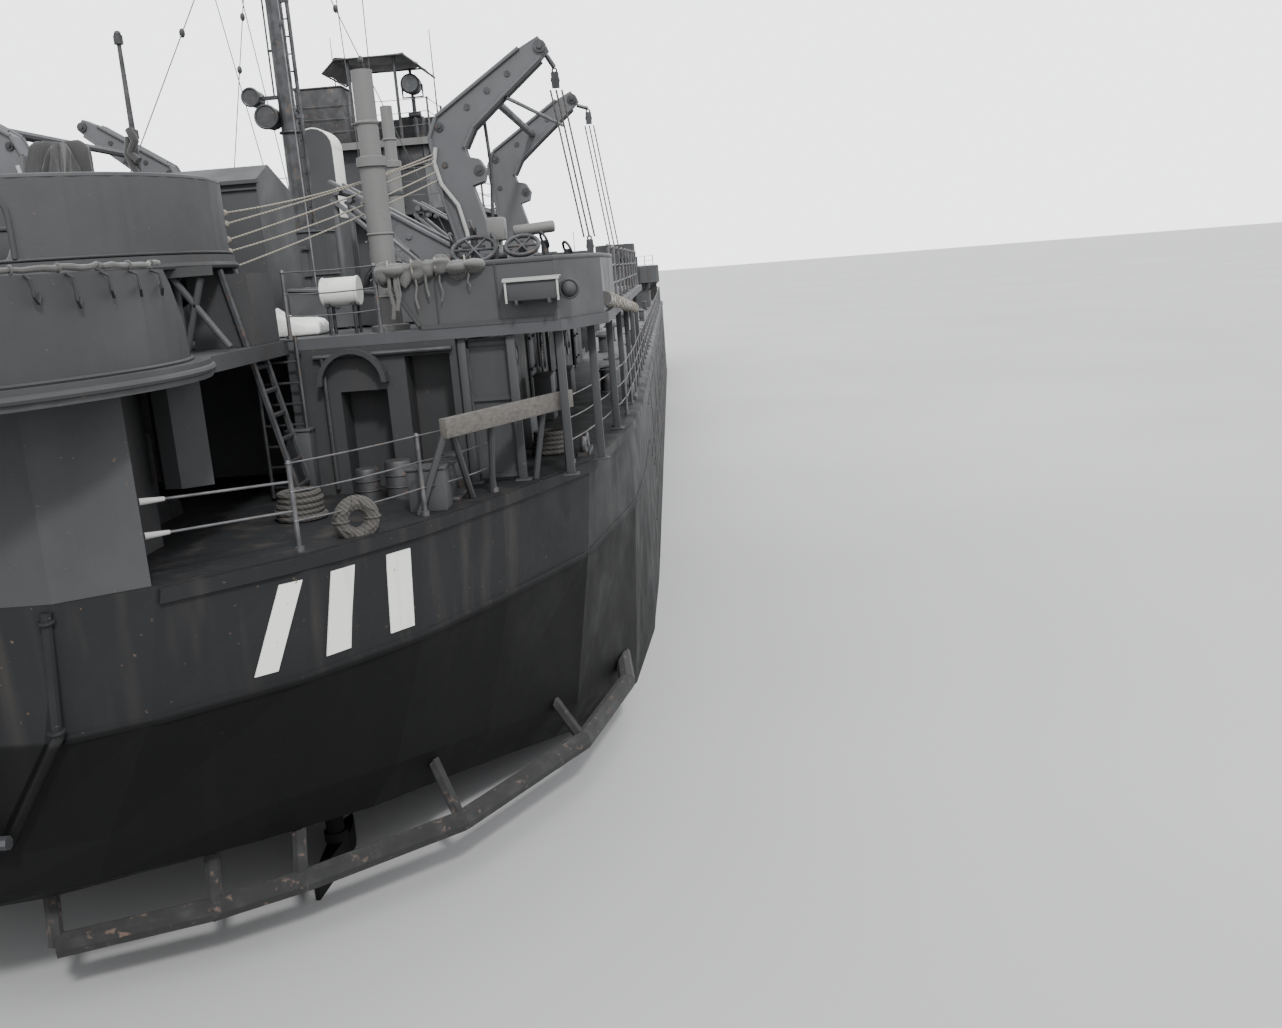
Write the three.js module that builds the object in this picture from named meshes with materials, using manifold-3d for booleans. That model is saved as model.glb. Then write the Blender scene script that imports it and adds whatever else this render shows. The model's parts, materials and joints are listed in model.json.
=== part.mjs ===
// Tank landing ship, a 1:10 scale model, with opening bow, lowering ramp and boat davits.
// Every size below is the full-size ship's, in metres; the whole group is scaled once, at
// the end, to millimetres of the model. +X is starboard, +Y is towards the bow and +Z is up,
// with the origin under the middle of the ship at the flat bottom.

import * as THREE from "three";
import { mergeVertices } from "three/addons/utils/BufferGeometryUtils.js";
import Module from "manifold-3d";

const wasm = await Module();
wasm.setup();

// Driving dimensions, metres on the full-size ship
const SCALE = 1 / 10;
const MM = 1000 * SCALE;
const GAP = 0.004;
const HALF_LENGTH = 50;
const HALF_BEAM = 7.62;
const STERN = -47.45;

// Heights above the flat bottom
const TANK_DECK = 3.3;
const TANK_CEILING = 7.1;
const KNUCKLE = 6.15;
const MAIN_DECK = 7.67;
const UPPER_DECK = 9.97;
const UPPER_PLATE = 0.16;
const FORECASTLE = 10.1;
const TUB_DECK = 11.17;

// Lengthwise places: aft end of the tank deck, its forward sill and the bow door hinges
const TANK_AFT = -29;
const TANK_SIDE = 4.5;
const SILL = 41.35;
const WELL_SIDE = 2.45;
const DOOR_LINE = 45.4;
const DOOR_HINGE_X = 3.4;
const DOOR_FOOT = 2.05;

// Flat grey paint, as the photo shows it, with darker gear and off-white canvas
const PAINTS = {
  hull: [0x6d7073, 0.75, 0.1],
  deck: [0x55585a, 0.85, 0.1],
  house: [0x76797b, 0.75, 0.1],
  gear: [0x44474a, 0.6, 0.4],
  bronze: [0x8a7550, 0.4, 0.8],
  canvas: [0x4c4b46, 0.95, 0],
  pale: [0xb9b8b2, 0.8, 0],
};

// A place counted from the stern corner, as y in the ship's frame
function fromStern(v) {
  return v + STERN;
}

// Closed three.js geometry to a solid for joining and cutting, and back
function solid(geometry) {
  const bare = geometry.clone();
  bare.deleteAttribute("normal");
  bare.deleteAttribute("uv");
  const merged = mergeVertices(bare, 1e-5);
  return new wasm.Manifold(new wasm.Mesh({
    numProp: 3,
    vertProperties: new Float32Array(merged.attributes.position.array),
    triVerts: new Uint32Array(merged.index.array),
  }));
}

function surface(body) {
  const mesh = body.getMesh();
  const geometry = new THREE.BufferGeometry();
  geometry.setAttribute("position", new THREE.BufferAttribute(mesh.vertProperties, 3));
  geometry.setIndex(new THREE.BufferAttribute(mesh.triVerts, 1));
  geometry.computeVertexNormals();
  return geometry;
}

function join(bodies) {
  return bodies.reduce((sum, body) => sum.add(body));
}

// A box between two corners
function block(x0, x1, y0, y1, z0, z1) {
  const geometry = new THREE.BoxGeometry(x1 - x0, y1 - y0, z1 - z0);
  geometry.translate((x0 + x1) / 2, (y0 + y1) / 2, (z0 + z1) / 2);
  return solid(geometry);
}

// An outline extruded upwards, from x and y, or across the ship, from y and z
function plate(outline, z0, z1) {
  const shape = new THREE.Shape(outline.map(([x, y]) => new THREE.Vector2(x, y)));
  const geometry = new THREE.ExtrudeGeometry(shape, { depth: z1 - z0, bevelEnabled: false });
  geometry.translate(0, 0, z0);
  return solid(geometry);
}

function profile(outline, x0, x1) {
  const shape = new THREE.Shape(outline.map(([y, z]) => new THREE.Vector2(y, z)));
  const geometry = new THREE.ExtrudeGeometry(shape, { depth: x1 - x0, bevelEnabled: false });
  const turn = new THREE.Matrix4().makeBasis(
    new THREE.Vector3(0, 1, 0), new THREE.Vector3(0, 0, 1), new THREE.Vector3(1, 0, 0));
  geometry.applyMatrix4(turn);
  geometry.translate(x0, 0, 0);
  return solid(geometry);
}

// An outline of x and z extruded along the ship
function frame(outline, y0, y1) {
  const shape = new THREE.Shape(outline.map(([x, z]) => new THREE.Vector2(x, -z)));
  const geometry = new THREE.ExtrudeGeometry(shape, { depth: y1 - y0, bevelEnabled: false });
  geometry.rotateX(-Math.PI / 2);
  geometry.translate(0, y0, 0);
  return solid(geometry);
}

// A round bar between two points
function bar(a, b, radius, sides = 10) {
  const from = new THREE.Vector3(...a);
  const to = new THREE.Vector3(...b);
  const length = from.distanceTo(to);
  const geometry = new THREE.CylinderGeometry(radius, radius, length, sides);
  const turn = new THREE.Quaternion().setFromUnitVectors(
    new THREE.Vector3(0, 1, 0), to.clone().sub(from).normalize());
  geometry.applyQuaternion(turn);
  geometry.translate((a[0] + b[0]) / 2, (a[1] + b[1]) / 2, (a[2] + b[2]) / 2);
  return solid(geometry);
}

// Bars end to end, with a ball at each bend
function pipe(points, radius, sides = 10) {
  const bodies = [];
  for (let i = 1; i < points.length; i += 1) {
    bodies.push(bar(points[i - 1], points[i], radius, sides));
    if (i < points.length - 1) {
      const ball = new THREE.SphereGeometry(radius * 1.02, sides, 6);
      ball.translate(...points[i]);
      bodies.push(solid(ball));
    }
  }
  return join(bodies);
}

// A profile of radius and height turned about an upright axis at x, y
function turned(rows, x, y, segments = 32) {
  const points = rows.map(([r, z]) => new THREE.Vector2(r, z));
  const geometry = new THREE.LatheGeometry(points, segments);
  geometry.rotateX(Math.PI / 2);
  geometry.translate(x, y, 0);
  return solid(geometry);
}

// Cross-sections with the same number of points, joined into one skin with flat ends
function loft(rings) {
  const count = rings[0].length;
  const positions = rings.flat(2);
  const index = [];
  for (let r = 0; r + 1 < rings.length; r += 1) {
    for (let i = 0; i < count; i += 1) {
      const j = (i + 1) % count;
      const a = r * count + i;
      const b = r * count + j;
      index.push(a, b, b + count, a, b + count, a + count);
    }
  }
  const ends = [[0, true], [rings.length - 1, false]];
  for (const [r, flip] of ends) {
    for (let i = 1; i + 1 < count; i += 1) {
      const a = r * count;
      index.push(...(flip ? [a, a + i + 1, a + i] : [a, a + i, a + i + 1]));
    }
  }
  const geometry = new THREE.BufferGeometry();
  geometry.setAttribute("position", new THREE.Float32BufferAttribute(positions, 3));
  geometry.setIndex(index);
  const body = solid(geometry);
  return body.volume() < 0 ? solid(turnedInsideOut(geometry)) : body;
}

function turnedInsideOut(geometry) {
  const flipped = geometry.clone();
  const index = flipped.index.array;
  for (let i = 0; i < index.length; i += 3) {
    [index[i], index[i + 1]] = [index[i + 1], index[i]];
  }
  return flipped;
}

// The same solid on the other side of the ship
function mirrored(body) {
  const geometry = surface(body);
  geometry.scale(-1, 1, 1);
  return solid(turnedInsideOut(geometry));
}

// The same solid moved a little, to cut a neighbour with a fitting gap
function moved(body, dx, dy, dz) {
  const geometry = surface(body);
  geometry.translate(dx, dy, dz);
  return solid(geometry);
}

function bothSides(body) {
  return body.add(mirrored(body));
}

// A half-outline of x and y, starboard side from aft to forward, closed to port
function bothHalves(half) {
  return [...half, ...half.map(([x, y]) => [-x, y]).reverse()];
}

const ship = new THREE.Group();
ship.scale.setScalar(MM);

function material(paint) {
  const [color, roughness, metalness] = PAINTS[paint];
  return new THREE.MeshStandardMaterial({ color, roughness, metalness });
}

function add(name, paint, body) {
  const mesh = new THREE.Mesh(surface(body), material(paint));
  mesh.name = name;
  ship.add(mesh);
}

// A starboard piece and its mirror image to port, as two nodes
function addPair(name, paint, body) {
  add(`${name}_starboard`, paint, body);
  add(`${name}_port`, paint, mirrored(body));
}

// Half-breadths of the hull's cross-sections
// [y, bottom half-breadth, bottom z, bilge half-breadth, bilge z, knuckle half-breadth, deck half-breadth]
const STERN_SECTIONS = [
  [fromStern(-0.4), 0.20, 4.25, 0.65, 4.85, 1.50, 1.90],
  [fromStern(0.1), 0.90, 4.10, 1.75, 4.80, 2.45, 2.75],
  [fromStern(1.25), 1.80, 3.90, 3.30, 4.60, 3.85, 4.05],
  [fromStern(2.65), 2.80, 3.60, 4.40, 4.40, 4.95, 5.10],
  [fromStern(4.4), 3.80, 3.30, 5.35, 4.10, 5.85, 6.00],
  [fromStern(6.6), 4.80, 2.85, 6.45, 3.60, 6.85, 7.00],
  [fromStern(10.5), 6.00, 1.70, 7.25, 2.50, 7.50, 7.50],
  [fromStern(14), 6.60, 0.75, 7.55, 1.60, HALF_BEAM, HALF_BEAM],
  [TANK_AFT, 6.90, 0, HALF_BEAM, 0.95, HALF_BEAM, HALF_BEAM],
];

// [y, bottom half-breadth, bottom z, bilge half-breadth, bilge z, half-breadth at the tank deck]
const BOTTOM_SECTIONS = [
  [TANK_AFT + GAP, 6.90, 0, HALF_BEAM, 0.95, HALF_BEAM],
  [31, 6.90, 0, HALF_BEAM, 0.95, HALF_BEAM],
  [34, 6.55, 0, 7.40, 1.00, 7.50],
  [37, 5.80, 0.12, 6.80, 1.15, 7.00],
  [39.5, 4.90, 0.35, 6.00, 1.35, 6.30],
  [42, 3.80, 0.75, 4.90, 1.60, 5.25],
  [44, 2.80, 1.15, 3.80, 1.80, 4.20],
  [DOOR_LINE, 2.10, 1.40, 2.90, 1.90, 3.45],
  [48.4, 0.12, 1.72, 0.20, 1.80, 0.26],
];

// [y, inner half-width, half-breadth at the tank deck, half-breadth at the main deck]
const SIDE_SECTIONS = [
  [TANK_AFT + GAP, TANK_SIDE, HALF_BEAM, HALF_BEAM],
  [31, TANK_SIDE, HALF_BEAM, HALF_BEAM],
  [34, TANK_SIDE, 7.50, 7.60],
  [37, 4.00, 7.00, 7.30],
  [39.5, 3.05, 6.30, 6.65],
  [SILL, WELL_SIDE, 5.55, 5.95],
  [42, WELL_SIDE, 5.25, 5.65],
  [44, WELL_SIDE, 4.20, 4.60],
  [DOOR_LINE, WELL_SIDE, 3.45, 3.75],
];

// The half-round of the bilge between the bottom and the side, as one point on its curve
function bilgeMiddle(x0, z0, x1, z1) {
  return [0.25 * x0 + 0.75 * x1, 0.75 * z0 + 0.25 * z1];
}

function hullStern() {
  const rings = STERN_SECTIONS.map(([y, xBottom, zBottom, xBilge, zBilge, xKnuckle, xDeck]) => {
    const [xMid, zMid] = bilgeMiddle(xBottom, zBottom, xBilge, zBilge);
    const half = [[0, zBottom], [xBottom, zBottom], [xMid, zMid], [xBilge, zBilge],
      [xKnuckle, KNUCKLE], [xDeck, MAIN_DECK], [0, MAIN_DECK]];
    return half.map(([x, z]) => [x, y, z]);
  });
  const anchorSlot = block(-0.74, 0.74, STERN - 2, fromStern(0.9), 6.1, MAIN_DECK + 1);
  const shaftZ = PROPELLER_Z;
  const skeg = profile([
    [fromStern(PROPELLER_V + 0.55), shaftZ - 0.3], [fromStern(9.5), 0.45],
    [fromStern(17.5), 0.02], [fromStern(17.5), 0.9], [fromStern(PROPELLER_V + 0.9), 2.95],
    [fromStern(PROPELLER_V + 0.55), shaftZ + 0.35],
  ], PROPELLER_X - 0.3, PROPELLER_X + 0.3);
  return bothSides(loft(rings).add(skeg)).subtract(anchorSlot);
}

function hullBottom() {
  const top = TANK_DECK - GAP;
  const chinTop = 1.95;
  const rings = BOTTOM_SECTIONS.map(([y, xBottom, zBottom, xBilge, zBilge, xTop]) => {
    const [xMid, zMid] = bilgeMiddle(xBottom, zBottom, xBilge, zBilge);
    const half = [[0, zBottom], [xBottom, zBottom], [xMid, zMid], [xBilge, zBilge],
      [xTop, top], [0, top]];
    return half.map(([x, z]) => [x, y, z]);
  });
  const overChin = block(-4, 4, DOOR_LINE, 52, chinTop, 5);
  const well = profile([
    [SILL, 2.72], [DOOR_LINE + 1, chinTop - 0.05], [DOOR_LINE + 1, 5], [SILL, 5],
  ], -WELL_SIDE, WELL_SIDE);
  return bothSides(loft(rings)).subtract(overChin).subtract(well);
}

function hullSide() {
  const rings = SIDE_SECTIONS.map(([y, inner, low, high]) => [
    [inner, y, TANK_DECK], [low, y, TANK_DECK],
    [high, y, TANK_CEILING - GAP], [inner, y, TANK_CEILING - GAP],
  ]);
  return loft(rings);
}

function mainDeck() {
  const half = SIDE_SECTIONS.map(([y, , , high]) => [high, y]);
  const deck = plate(bothHalves(half), TANK_CEILING, MAIN_DECK);
  const rampSlot = block(-WELL_SIDE, WELL_SIDE, 43.7, 47, TANK_CEILING - 1, MAIN_DECK + 1);
  return deck.subtract(rampSlot);
}

// Cargo hatch: a coaming with its cover boards on
function cargoHatch() {
  const y0 = 4;
  const y1 = 11.3;
  const base = block(-1.9, 1.9, y0, y1, MAIN_DECK + GAP, MAIN_DECK + 0.55);
  const cover = block(-1.75, 1.75, y0 + 0.15, y1 - 0.15, MAIN_DECK + 0.5, MAIN_DECK + 0.7);
  return base.add(cover);
}

// [y, half-breadth]
const FORECASTLE_OUTLINE = [
  [37.5, 7.22], [40, 6.50], [42, 5.70], [44, 4.75], [45.5, 3.95], [47, 3.00],
  [48.5, 1.85], [49.5, 0.80], [HALF_LENGTH, 0.25],
];

function forecastle() {
  const half = FORECASTLE_OUTLINE.map(([y, x]) => [x, y]);
  const hull = plate(bothHalves(half), MAIN_DECK + GAP, FORECASTLE);
  const rampHead = block(-2.3, 2.3, 43.9, 47.3, MAIN_DECK - 1, 9.3);
  const doorway = block(-0.45, 0.45, 37, 38.1, MAIN_DECK - 1, MAIN_DECK + 1.95);
  return hull.subtract(rampHead).subtract(doorway);
}

// A bulwark standing on the forecastle's edge
function bowBulwark() {
  const outer = bothHalves(FORECASTLE_OUTLINE.slice(2).map(([y, x]) => [x, y]));
  const inner = bothHalves([[5.58, 41.5], [4.65, 43.95], [3.85, 45.42], [2.9, 46.92],
    [1.75, 48.4], [0.7, 49.4], [0.2, 49.85]]);
  const top = FORECASTLE + 1.0;
  return plate(outer, FORECASTLE + GAP, top).subtract(plate(inner, FORECASTLE - 1, top + 1));
}

// Bow doors: plates that lean from the hinge line to a raked stem
function bowDoor() {
  const thick = 0.3;
  const across = 0.38;
  const rows = [[DOOR_FOOT, 48.5], [7.6, HALF_LENGTH - 0.02]];
  const rings = rows.map(([z, stem]) => [
    [DOOR_HINGE_X, DOOR_LINE + 0.06, z], [0.03, stem, z],
    [0.03, stem - thick - 0.35, z], [DOOR_HINGE_X - across, DOOR_LINE + 0.06, z],
  ]);
  return loft(rings);
}

// The ramp, closed at a steep rake with its head in a pocket of the forecastle
const RAMP_LENGTH = 7;
const RAMP_RAKE = THREE.MathUtils.degToRad(57);
const RAMP_HINGE = [41.54, 3.15];

function bowRamp() {
  const slab = block(-2.15, 2.15, 0, RAMP_LENGTH, -0.15, 0.15);
  const ribs = [-1.8, -0.6, 0.6, 1.8].map((x) =>
    block(x - 0.08, x + 0.08, 0.3, RAMP_LENGTH - 0.2, -0.26, -0.1));
  const geometry = surface(join([slab, ...ribs]));
  geometry.rotateX(RAMP_RAKE);
  geometry.translate(0, ...RAMP_HINGE);
  return solid(geometry);
}

// Propellers, shafts and rudders
const PROPELLER_X = 3.1;
const PROPELLER_V = 6.1;
const PROPELLER_Z = 1.4;
const PROPELLER_RADIUS = 1.06;
const RUDDER_V = 3.7;

function propeller() {
  const hub = bar([0, -0.42, 0], [0, 0.5, 0], 0.2, 16);
  const blade = new THREE.Shape();
  blade.moveTo(0.1, -0.14);
  blade.quadraticCurveTo(0.55, -0.62, PROPELLER_RADIUS, -0.12);
  blade.quadraticCurveTo(PROPELLER_RADIUS + 0.02, 0.25, 0.6, 0.4);
  blade.quadraticCurveTo(0.25, 0.35, 0.1, 0.14);
  const flat = new THREE.ExtrudeGeometry(blade, {
    depth: 0.06, bevelEnabled: false, curveSegments: 5,
  });
  flat.translate(0, 0, -0.03);
  const blades = [0, 1, 2].map((i) => {
    const one = flat.clone();
    one.rotateX(-Math.PI / 2 + 0.55);
    one.rotateY((i * 2 * Math.PI) / 3 + Math.PI / 2);
    return solid(one);
  });
  const geometry = surface(join([hub, ...blades]));
  geometry.translate(PROPELLER_X, fromStern(PROPELLER_V), PROPELLER_Z);
  return solid(geometry);
}

function rudder() {
  const y = fromStern(RUDDER_V);
  const outline = new THREE.Shape();
  outline.moveTo(0, 0.85);
  outline.quadraticCurveTo(0.17, 0.5, 0.12, 0);
  outline.lineTo(0.03, -1.1);
  outline.lineTo(-0.03, -1.1);
  outline.lineTo(-0.12, 0);
  outline.quadraticCurveTo(-0.17, 0.5, 0, 0.85);
  const geometry = new THREE.ExtrudeGeometry(outline, {
    depth: 2.3, bevelEnabled: false, curveSegments: 4,
  });
  geometry.translate(PROPELLER_X, y, 0.55);
  const stock = bar([PROPELLER_X, y, 2.7], [PROPELLER_X, y, 3.28], 0.13, 12);
  return solid(geometry).add(stock);
}

// Guard pipe round each quarter, above the propellers: [x, v, z]
const GUARD = [[0.75, 0.35, 3.35], [2.4, 1.0, 3.35], [3.3, 1.55, 3.35], [5.1, 3.0, 3.35],
  [6.6, 5.6, 3.35], [7.2, 8.2, 3.35], [7.0, 10.4, 3.35]];
// [guard point, x, v, z of the foot inside the hull]
const GUARD_STRUTS = [[0, 0.7, 0.6, 4.6], [1, 2.4, 1.3, 4.7], [2, 3.25, 2.1, 4.7],
  [3, 4.4, 3.8, 4.6], [4, 5.8, 6.3, 4.3]];
const FITTING_GAP = 0.01;

function propellerGuard() {
  const points = GUARD.map(([x, v, z]) => [x, fromStern(v), z]);
  const struts = GUARD_STRUTS.map(([i, x, v, z]) =>
    bar(points[i], [x, fromStern(v), z], 0.09, 6));
  const hull = moved(hullStern(), FITTING_GAP, -FITTING_GAP, -FITTING_GAP);
  const whole = join([pipe(points, 0.15, 8), ...struts]).subtract(hull);
  return largest(whole);
}

// The biggest piece of a solid that a cut left in several
function largest(body) {
  return body.decompose().reduce((best, part) => (part.volume() > best.volume() ? part : best));
}

// Stern anchor in its slot and the winch that hauls it
function sternAnchor() {
  const y = fromStern(-0.62);
  const shank = block(-0.11, 0.11, y - 0.1, y + 0.1, 5.2, 7.9);
  const crown = block(-0.6, 0.6, y - 0.16, y + 0.16, 5.0, 5.35);
  const fluke = profile([[y - 0.14, 5.1], [y + 0.14, 5.1], [y - 0.12, 6.9]], 0.22, 0.5);
  const stockBar = bar([-1.05, y, 5.15], [1.05, y, 5.15], 0.08, 8);
  return join([shank, crown, bothSides(fluke), stockBar]);
}

function sternWinch() {
  const y = fromStern(3.4);
  const deck = MAIN_DECK + GAP;
  const bed = block(-1.3, 1.3, y - 1.0, y + 1.0, deck, deck + 0.2);
  const drum = bar([-0.9, y, deck + 1.05], [0.9, y, deck + 1.05], 0.55, 20);
  const flanges = [-0.95, 0.95].map((x) =>
    bar([x - 0.08, y, deck + 1.05], [x + 0.08, y, deck + 1.05], 0.85, 20));
  const legs = [-1.15, 1.15].map((x) =>
    block(x - 0.13, x + 0.13, y - 0.4, y + 0.4, deck + 0.1, deck + 1.25));
  const motor = block(-0.5, 0.5, y + 0.6, y + 0.98, deck + 0.1, deck + 0.9);
  return join([bed, drum, ...flanges, ...legs, motor]);
}

// Poop: two side blocks with the anchor gear's opening between, under a round platform
const PLATFORM = { v: 0.7, flange: 3.25, wall: 3.02, thick: 0.2, rim: 1.03, bridge: 2.95 };

function poopBlock() {
  const outline = [[0.76, -0.4], [1.86, -0.4], [2.7, 0.1], [1.95, 1.3], [1.95, 2.2],
    [1.5, 2.2], [1.5, 0.95], [0.76, 0.95]];
  return plate(outline.map(([x, v]) => [x, fromStern(v)]),
    MAIN_DECK + GAP, UPPER_DECK - PLATFORM.thick - GAP);
}

// Locker hung under the platform's edge, with a rounded after corner
function sideLocker() {
  const outline = [[2.05, 2.4], [2.08, 2.12], [2.2, 1.95], [2.42, 1.9], [2.75, 2.1], [2.5, 2.65],
    [2.05, 2.65]];
  return plate(outline.map(([x, v]) => [x, fromStern(v)]),
    MAIN_DECK + 0.75, UPPER_DECK - PLATFORM.thick - GAP);
}

function sternPlatform() {
  const y = fromStern(PLATFORM.v);
  const z = UPPER_DECK - PLATFORM.thick;
  const outside = PLATFORM.wall;
  const inside = outside - 0.09;
  const foot = UPPER_DECK - 0.05;
  const rim = UPPER_DECK + PLATFORM.rim;
  const disc = turned([[0, z], [PLATFORM.flange, z], [PLATFORM.flange, UPPER_DECK],
    [0, UPPER_DECK]], 0, y, 48);
  const wall = turned([[inside, foot], [outside, foot], [outside, rim], [inside, rim],
    [inside, foot]], 0, y, 48);
  const slant = profile([[fromStern(0.9), rim + 0.1], [fromStern(0.95), rim - 0.02],
    [fromStern(1.9), UPPER_DECK], [fromStern(9), UPPER_DECK], [fromStern(9), rim + 0.1]], -5, 5);
  const bridge = block(-PLATFORM.bridge, PLATFORM.bridge, y, fromStern(HOUSE_AFT) - GAP,
    z, UPPER_DECK);
  return join([disc, wall.subtract(slant), bridge]);
}

const RAISED_TUB = { v: 4.0, radius: 2.5, flange: 2.56, rim: 12.17 };
const TUB_DOOR = { x: 0.62, half: 0.37, drop: 0.45 };

// Raised tub with a round-headed way in through its after side
function raisedTub() {
  const y = fromStern(RAISED_TUB.v);
  const r = RAISED_TUB.radius;
  const floor = TUB_DECK;
  const tub = turned([[0, floor - 0.12], [RAISED_TUB.flange, floor - 0.12],
    [RAISED_TUB.flange, floor + 0.04], [r, floor + 0.04], [r, RAISED_TUB.rim],
    [r - 0.09, RAISED_TUB.rim], [r - 0.09, floor + 0.04], [0, floor + 0.04]], 0, y, 48);
  const spring = RAISED_TUB.rim - TUB_DOOR.drop;
  const slot = block(TUB_DOOR.x - TUB_DOOR.half, TUB_DOOR.x + TUB_DOOR.half, y - 3, y - 1.5,
    floor + 0.05, spring);
  const head = bar([TUB_DOOR.x, y - 3, spring], [TUB_DOOR.x, y - 1.5, spring], TUB_DOOR.half, 16);
  return tub.subtract(slot.add(head));
}

function tubTrunk() {
  const y = fromStern(RAISED_TUB.v);
  return turned([[0, UPPER_DECK + GAP], [1.6, UPPER_DECK + GAP], [1.6, TUB_DECK - 0.12 - GAP],
    [0, TUB_DECK - 0.12 - GAP]], 0, y, 24);
}

// A mounting under a lashed canvas cover
function coveredMound(x, y, z, width, length, height) {
  const rows = [[0, 1], [0.55, 0.94], [0.82, 0.66], [1, 0]];
  const rings = rows.map(([rise, share]) => {
    const w = (width / 2) * (0.35 + 0.65 * share);
    const l = (length / 2) * (0.35 + 0.65 * share);
    const ring = [];
    for (let i = 0; i < 12; i += 1) {
      const angle = (i / 12) * 2 * Math.PI;
      ring.push([x + w * Math.cos(angle), y + l * Math.sin(angle), z + rise * height]);
    }
    return ring;
  });
  return loft(rings);
}

// Deckhouse under the upper deck, with its side passages left open
const HOUSE_AFT = 5.0;
const HOUSE_FORE = 28;
const HOUSE_SIDE = 5.35;

function deckhouse() {
  const top = UPPER_DECK - UPPER_PLATE - GAP;
  const z = MAIN_DECK + GAP;
  const body = block(-HOUSE_SIDE, HOUSE_SIDE, fromStern(HOUSE_AFT), fromStern(HOUSE_FORE), z, top);
  const winchBay = block(-2.9, 2.9, fromStern(4), fromStern(7.5), z - 1, top + 1);
  const doorways = [[3.62, 4.3, 1.5], [4.6, 5.25, 1.95]].map(([x0, x1, high]) =>
    block(x0, x1, fromStern(4), fromStern(HOUSE_AFT + 0.5), z - 1, MAIN_DECK + high));
  const sideDoors = [10, 17, 24].map((v) =>
    block(HOUSE_SIDE - 0.15, HOUSE_SIDE + 1, fromStern(v), fromStern(v + 0.75), z - 1, MAIN_DECK + 1.85));
  const hollow = body.subtract(winchBay).subtract(bothSides(join([...doorways, ...sideDoors])));
  return hollow.add(bothSides(archedHood()));
}

// Half-round hood over the after doorway
function archedHood() {
  const centre = [3.85, MAIN_DECK + 1.62];
  const outline = [];
  for (const [radius, way] of [[0.5, 1], [0.43, -1]]) {
    for (let i = 0; i <= 12; i += 1) {
      const angle = way > 0 ? (i / 12) * Math.PI : Math.PI - (i / 12) * Math.PI;
      outline.push([centre[0] + radius * Math.cos(angle), centre[1] + radius * Math.sin(angle)]);
    }
  }
  return frame(outline, fromStern(HOUSE_AFT - 0.22), fromStern(HOUSE_AFT + 0.05));
}

// The upper deck, wider than the house, over a covered passage on each side
const UPPER_HALF = [[2.95, HOUSE_AFT], [6.9, 5.0], [7.5, 6.4], [7.5, 27.6], [5.7, 28.6]];

function upperDeck() {
  const half = UPPER_HALF.map(([x, v]) => [x, fromStern(v)]);
  return plate(bothHalves(half), UPPER_DECK - UPPER_PLATE, UPPER_DECK);
}

// Bulwark round the after corner of the upper deck
const QUARTER_WALL = [[4.35, 5.04], [6.86, 5.04], [7.44, 6.42], [7.44, 10.2],
  [7.35, 10.2], [7.35, 6.45], [6.8, 5.13], [4.35, 5.13]];

function quarterBulwark() {
  const outline = QUARTER_WALL.map(([x, v]) => [x, fromStern(v)]);
  const wall = plate(outline, UPPER_DECK + GAP, UPPER_DECK + 0.86);
  const slant = frame([[4.2, UPPER_DECK - 1], [4.85, UPPER_DECK - 1], [4.85, UPPER_DECK],
    [4.4, UPPER_DECK + 0.87], [4.2, UPPER_DECK + 0.87]], fromStern(4.9), fromStern(5.3));
  return wall.subtract(slant);
}

// Boxed trunk under the raised tub's edge
function trunkBox() {
  return block(2.05, 2.87, fromStern(3.9), fromStern(4.9), UPPER_DECK + GAP, UPPER_DECK + 0.97);
}

// Shelter behind the raised tub, its roof ridge athwartships
const SHELTER_SIDE = 1.88;

function shelter() {
  const z = UPPER_DECK + GAP;
  return profile([[fromStern(7.8), z], [fromStern(9.6), z], [fromStern(9.6), z + 2.4],
    [fromStern(8.5), z + 2.78], [fromStern(7.8), z + 2.5]], -SHELTER_SIDE, SHELTER_SIDE);
}

// Round mast house with the pole mast, its side pipe, yard and signal lamps: [x, z, radius]
const MAST_LAMPS = [[-0.42, 14.5, 0.25], [-0.72, 14.95, 0.19]];
const MAST_V = 16.35;
const MAST_HOUSE_TOP = UPPER_DECK + 2.0;
const MAST_HOUSE_RADIUS = 0.7;

function mastHouse() {
  const r = MAST_HOUSE_RADIUS;
  return turned([[0, UPPER_DECK + GAP], [r, UPPER_DECK + GAP], [r, MAST_HOUSE_TOP],
    [0, MAST_HOUSE_TOP]], 0, fromStern(MAST_V), 24);
}

function mast() {
  const y = fromStern(MAST_V);
  const pole = turned([[0, MAST_HOUSE_TOP + GAP], [0.2, MAST_HOUSE_TOP + GAP], [0.17, 20],
    [0.1, 25.6], [0, 26]], 0, y, 16);
  const yard = bar([-2.2, y, 22.6], [2.2, y, 22.6], 0.07, 8);
  const pipeRun = bar([0.3, y, MAST_HOUSE_TOP + 0.05], [0.3, y, 21.5], 0.045, 8);
  const clamps = [12, 14.5, 17, 19.5].map((z) => block(0, 0.34, y - 0.05, y + 0.05, z, z + 0.08));
  const lampArms = MAST_LAMPS.map(([x, z]) => block(x, 0, y - 0.06, y + 0.06, z, z + 0.08));
  const lamps = MAST_LAMPS.map(([x, z, radius]) =>
    bar([x, y - 0.28, z + 0.05], [x, y + 0.22, z + 0.05], radius, 12));
  return join([pole, yard, pipeRun, ...clamps, ...lampArms, ...lamps]);
}

// Galley and engine exhaust pipes to starboard: [x, v, radius, collar, top]
const STACKS = [[4.3, 5.7, 0.145, 12.35, 13.65], [2.34, 16.0, 0.13, 12.6, 14.55]];

function stack([x, v, radius, collar, top]) {
  const foot = UPPER_DECK + GAP;
  return turned([[0, foot], [radius + 0.03, foot], [radius + 0.03, collar],
    [radius + 0.06, collar], [radius + 0.06, collar + 0.08], [radius, collar + 0.08],
    [radius, top], [0, top]], x, fromStern(v), 12);
}

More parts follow.
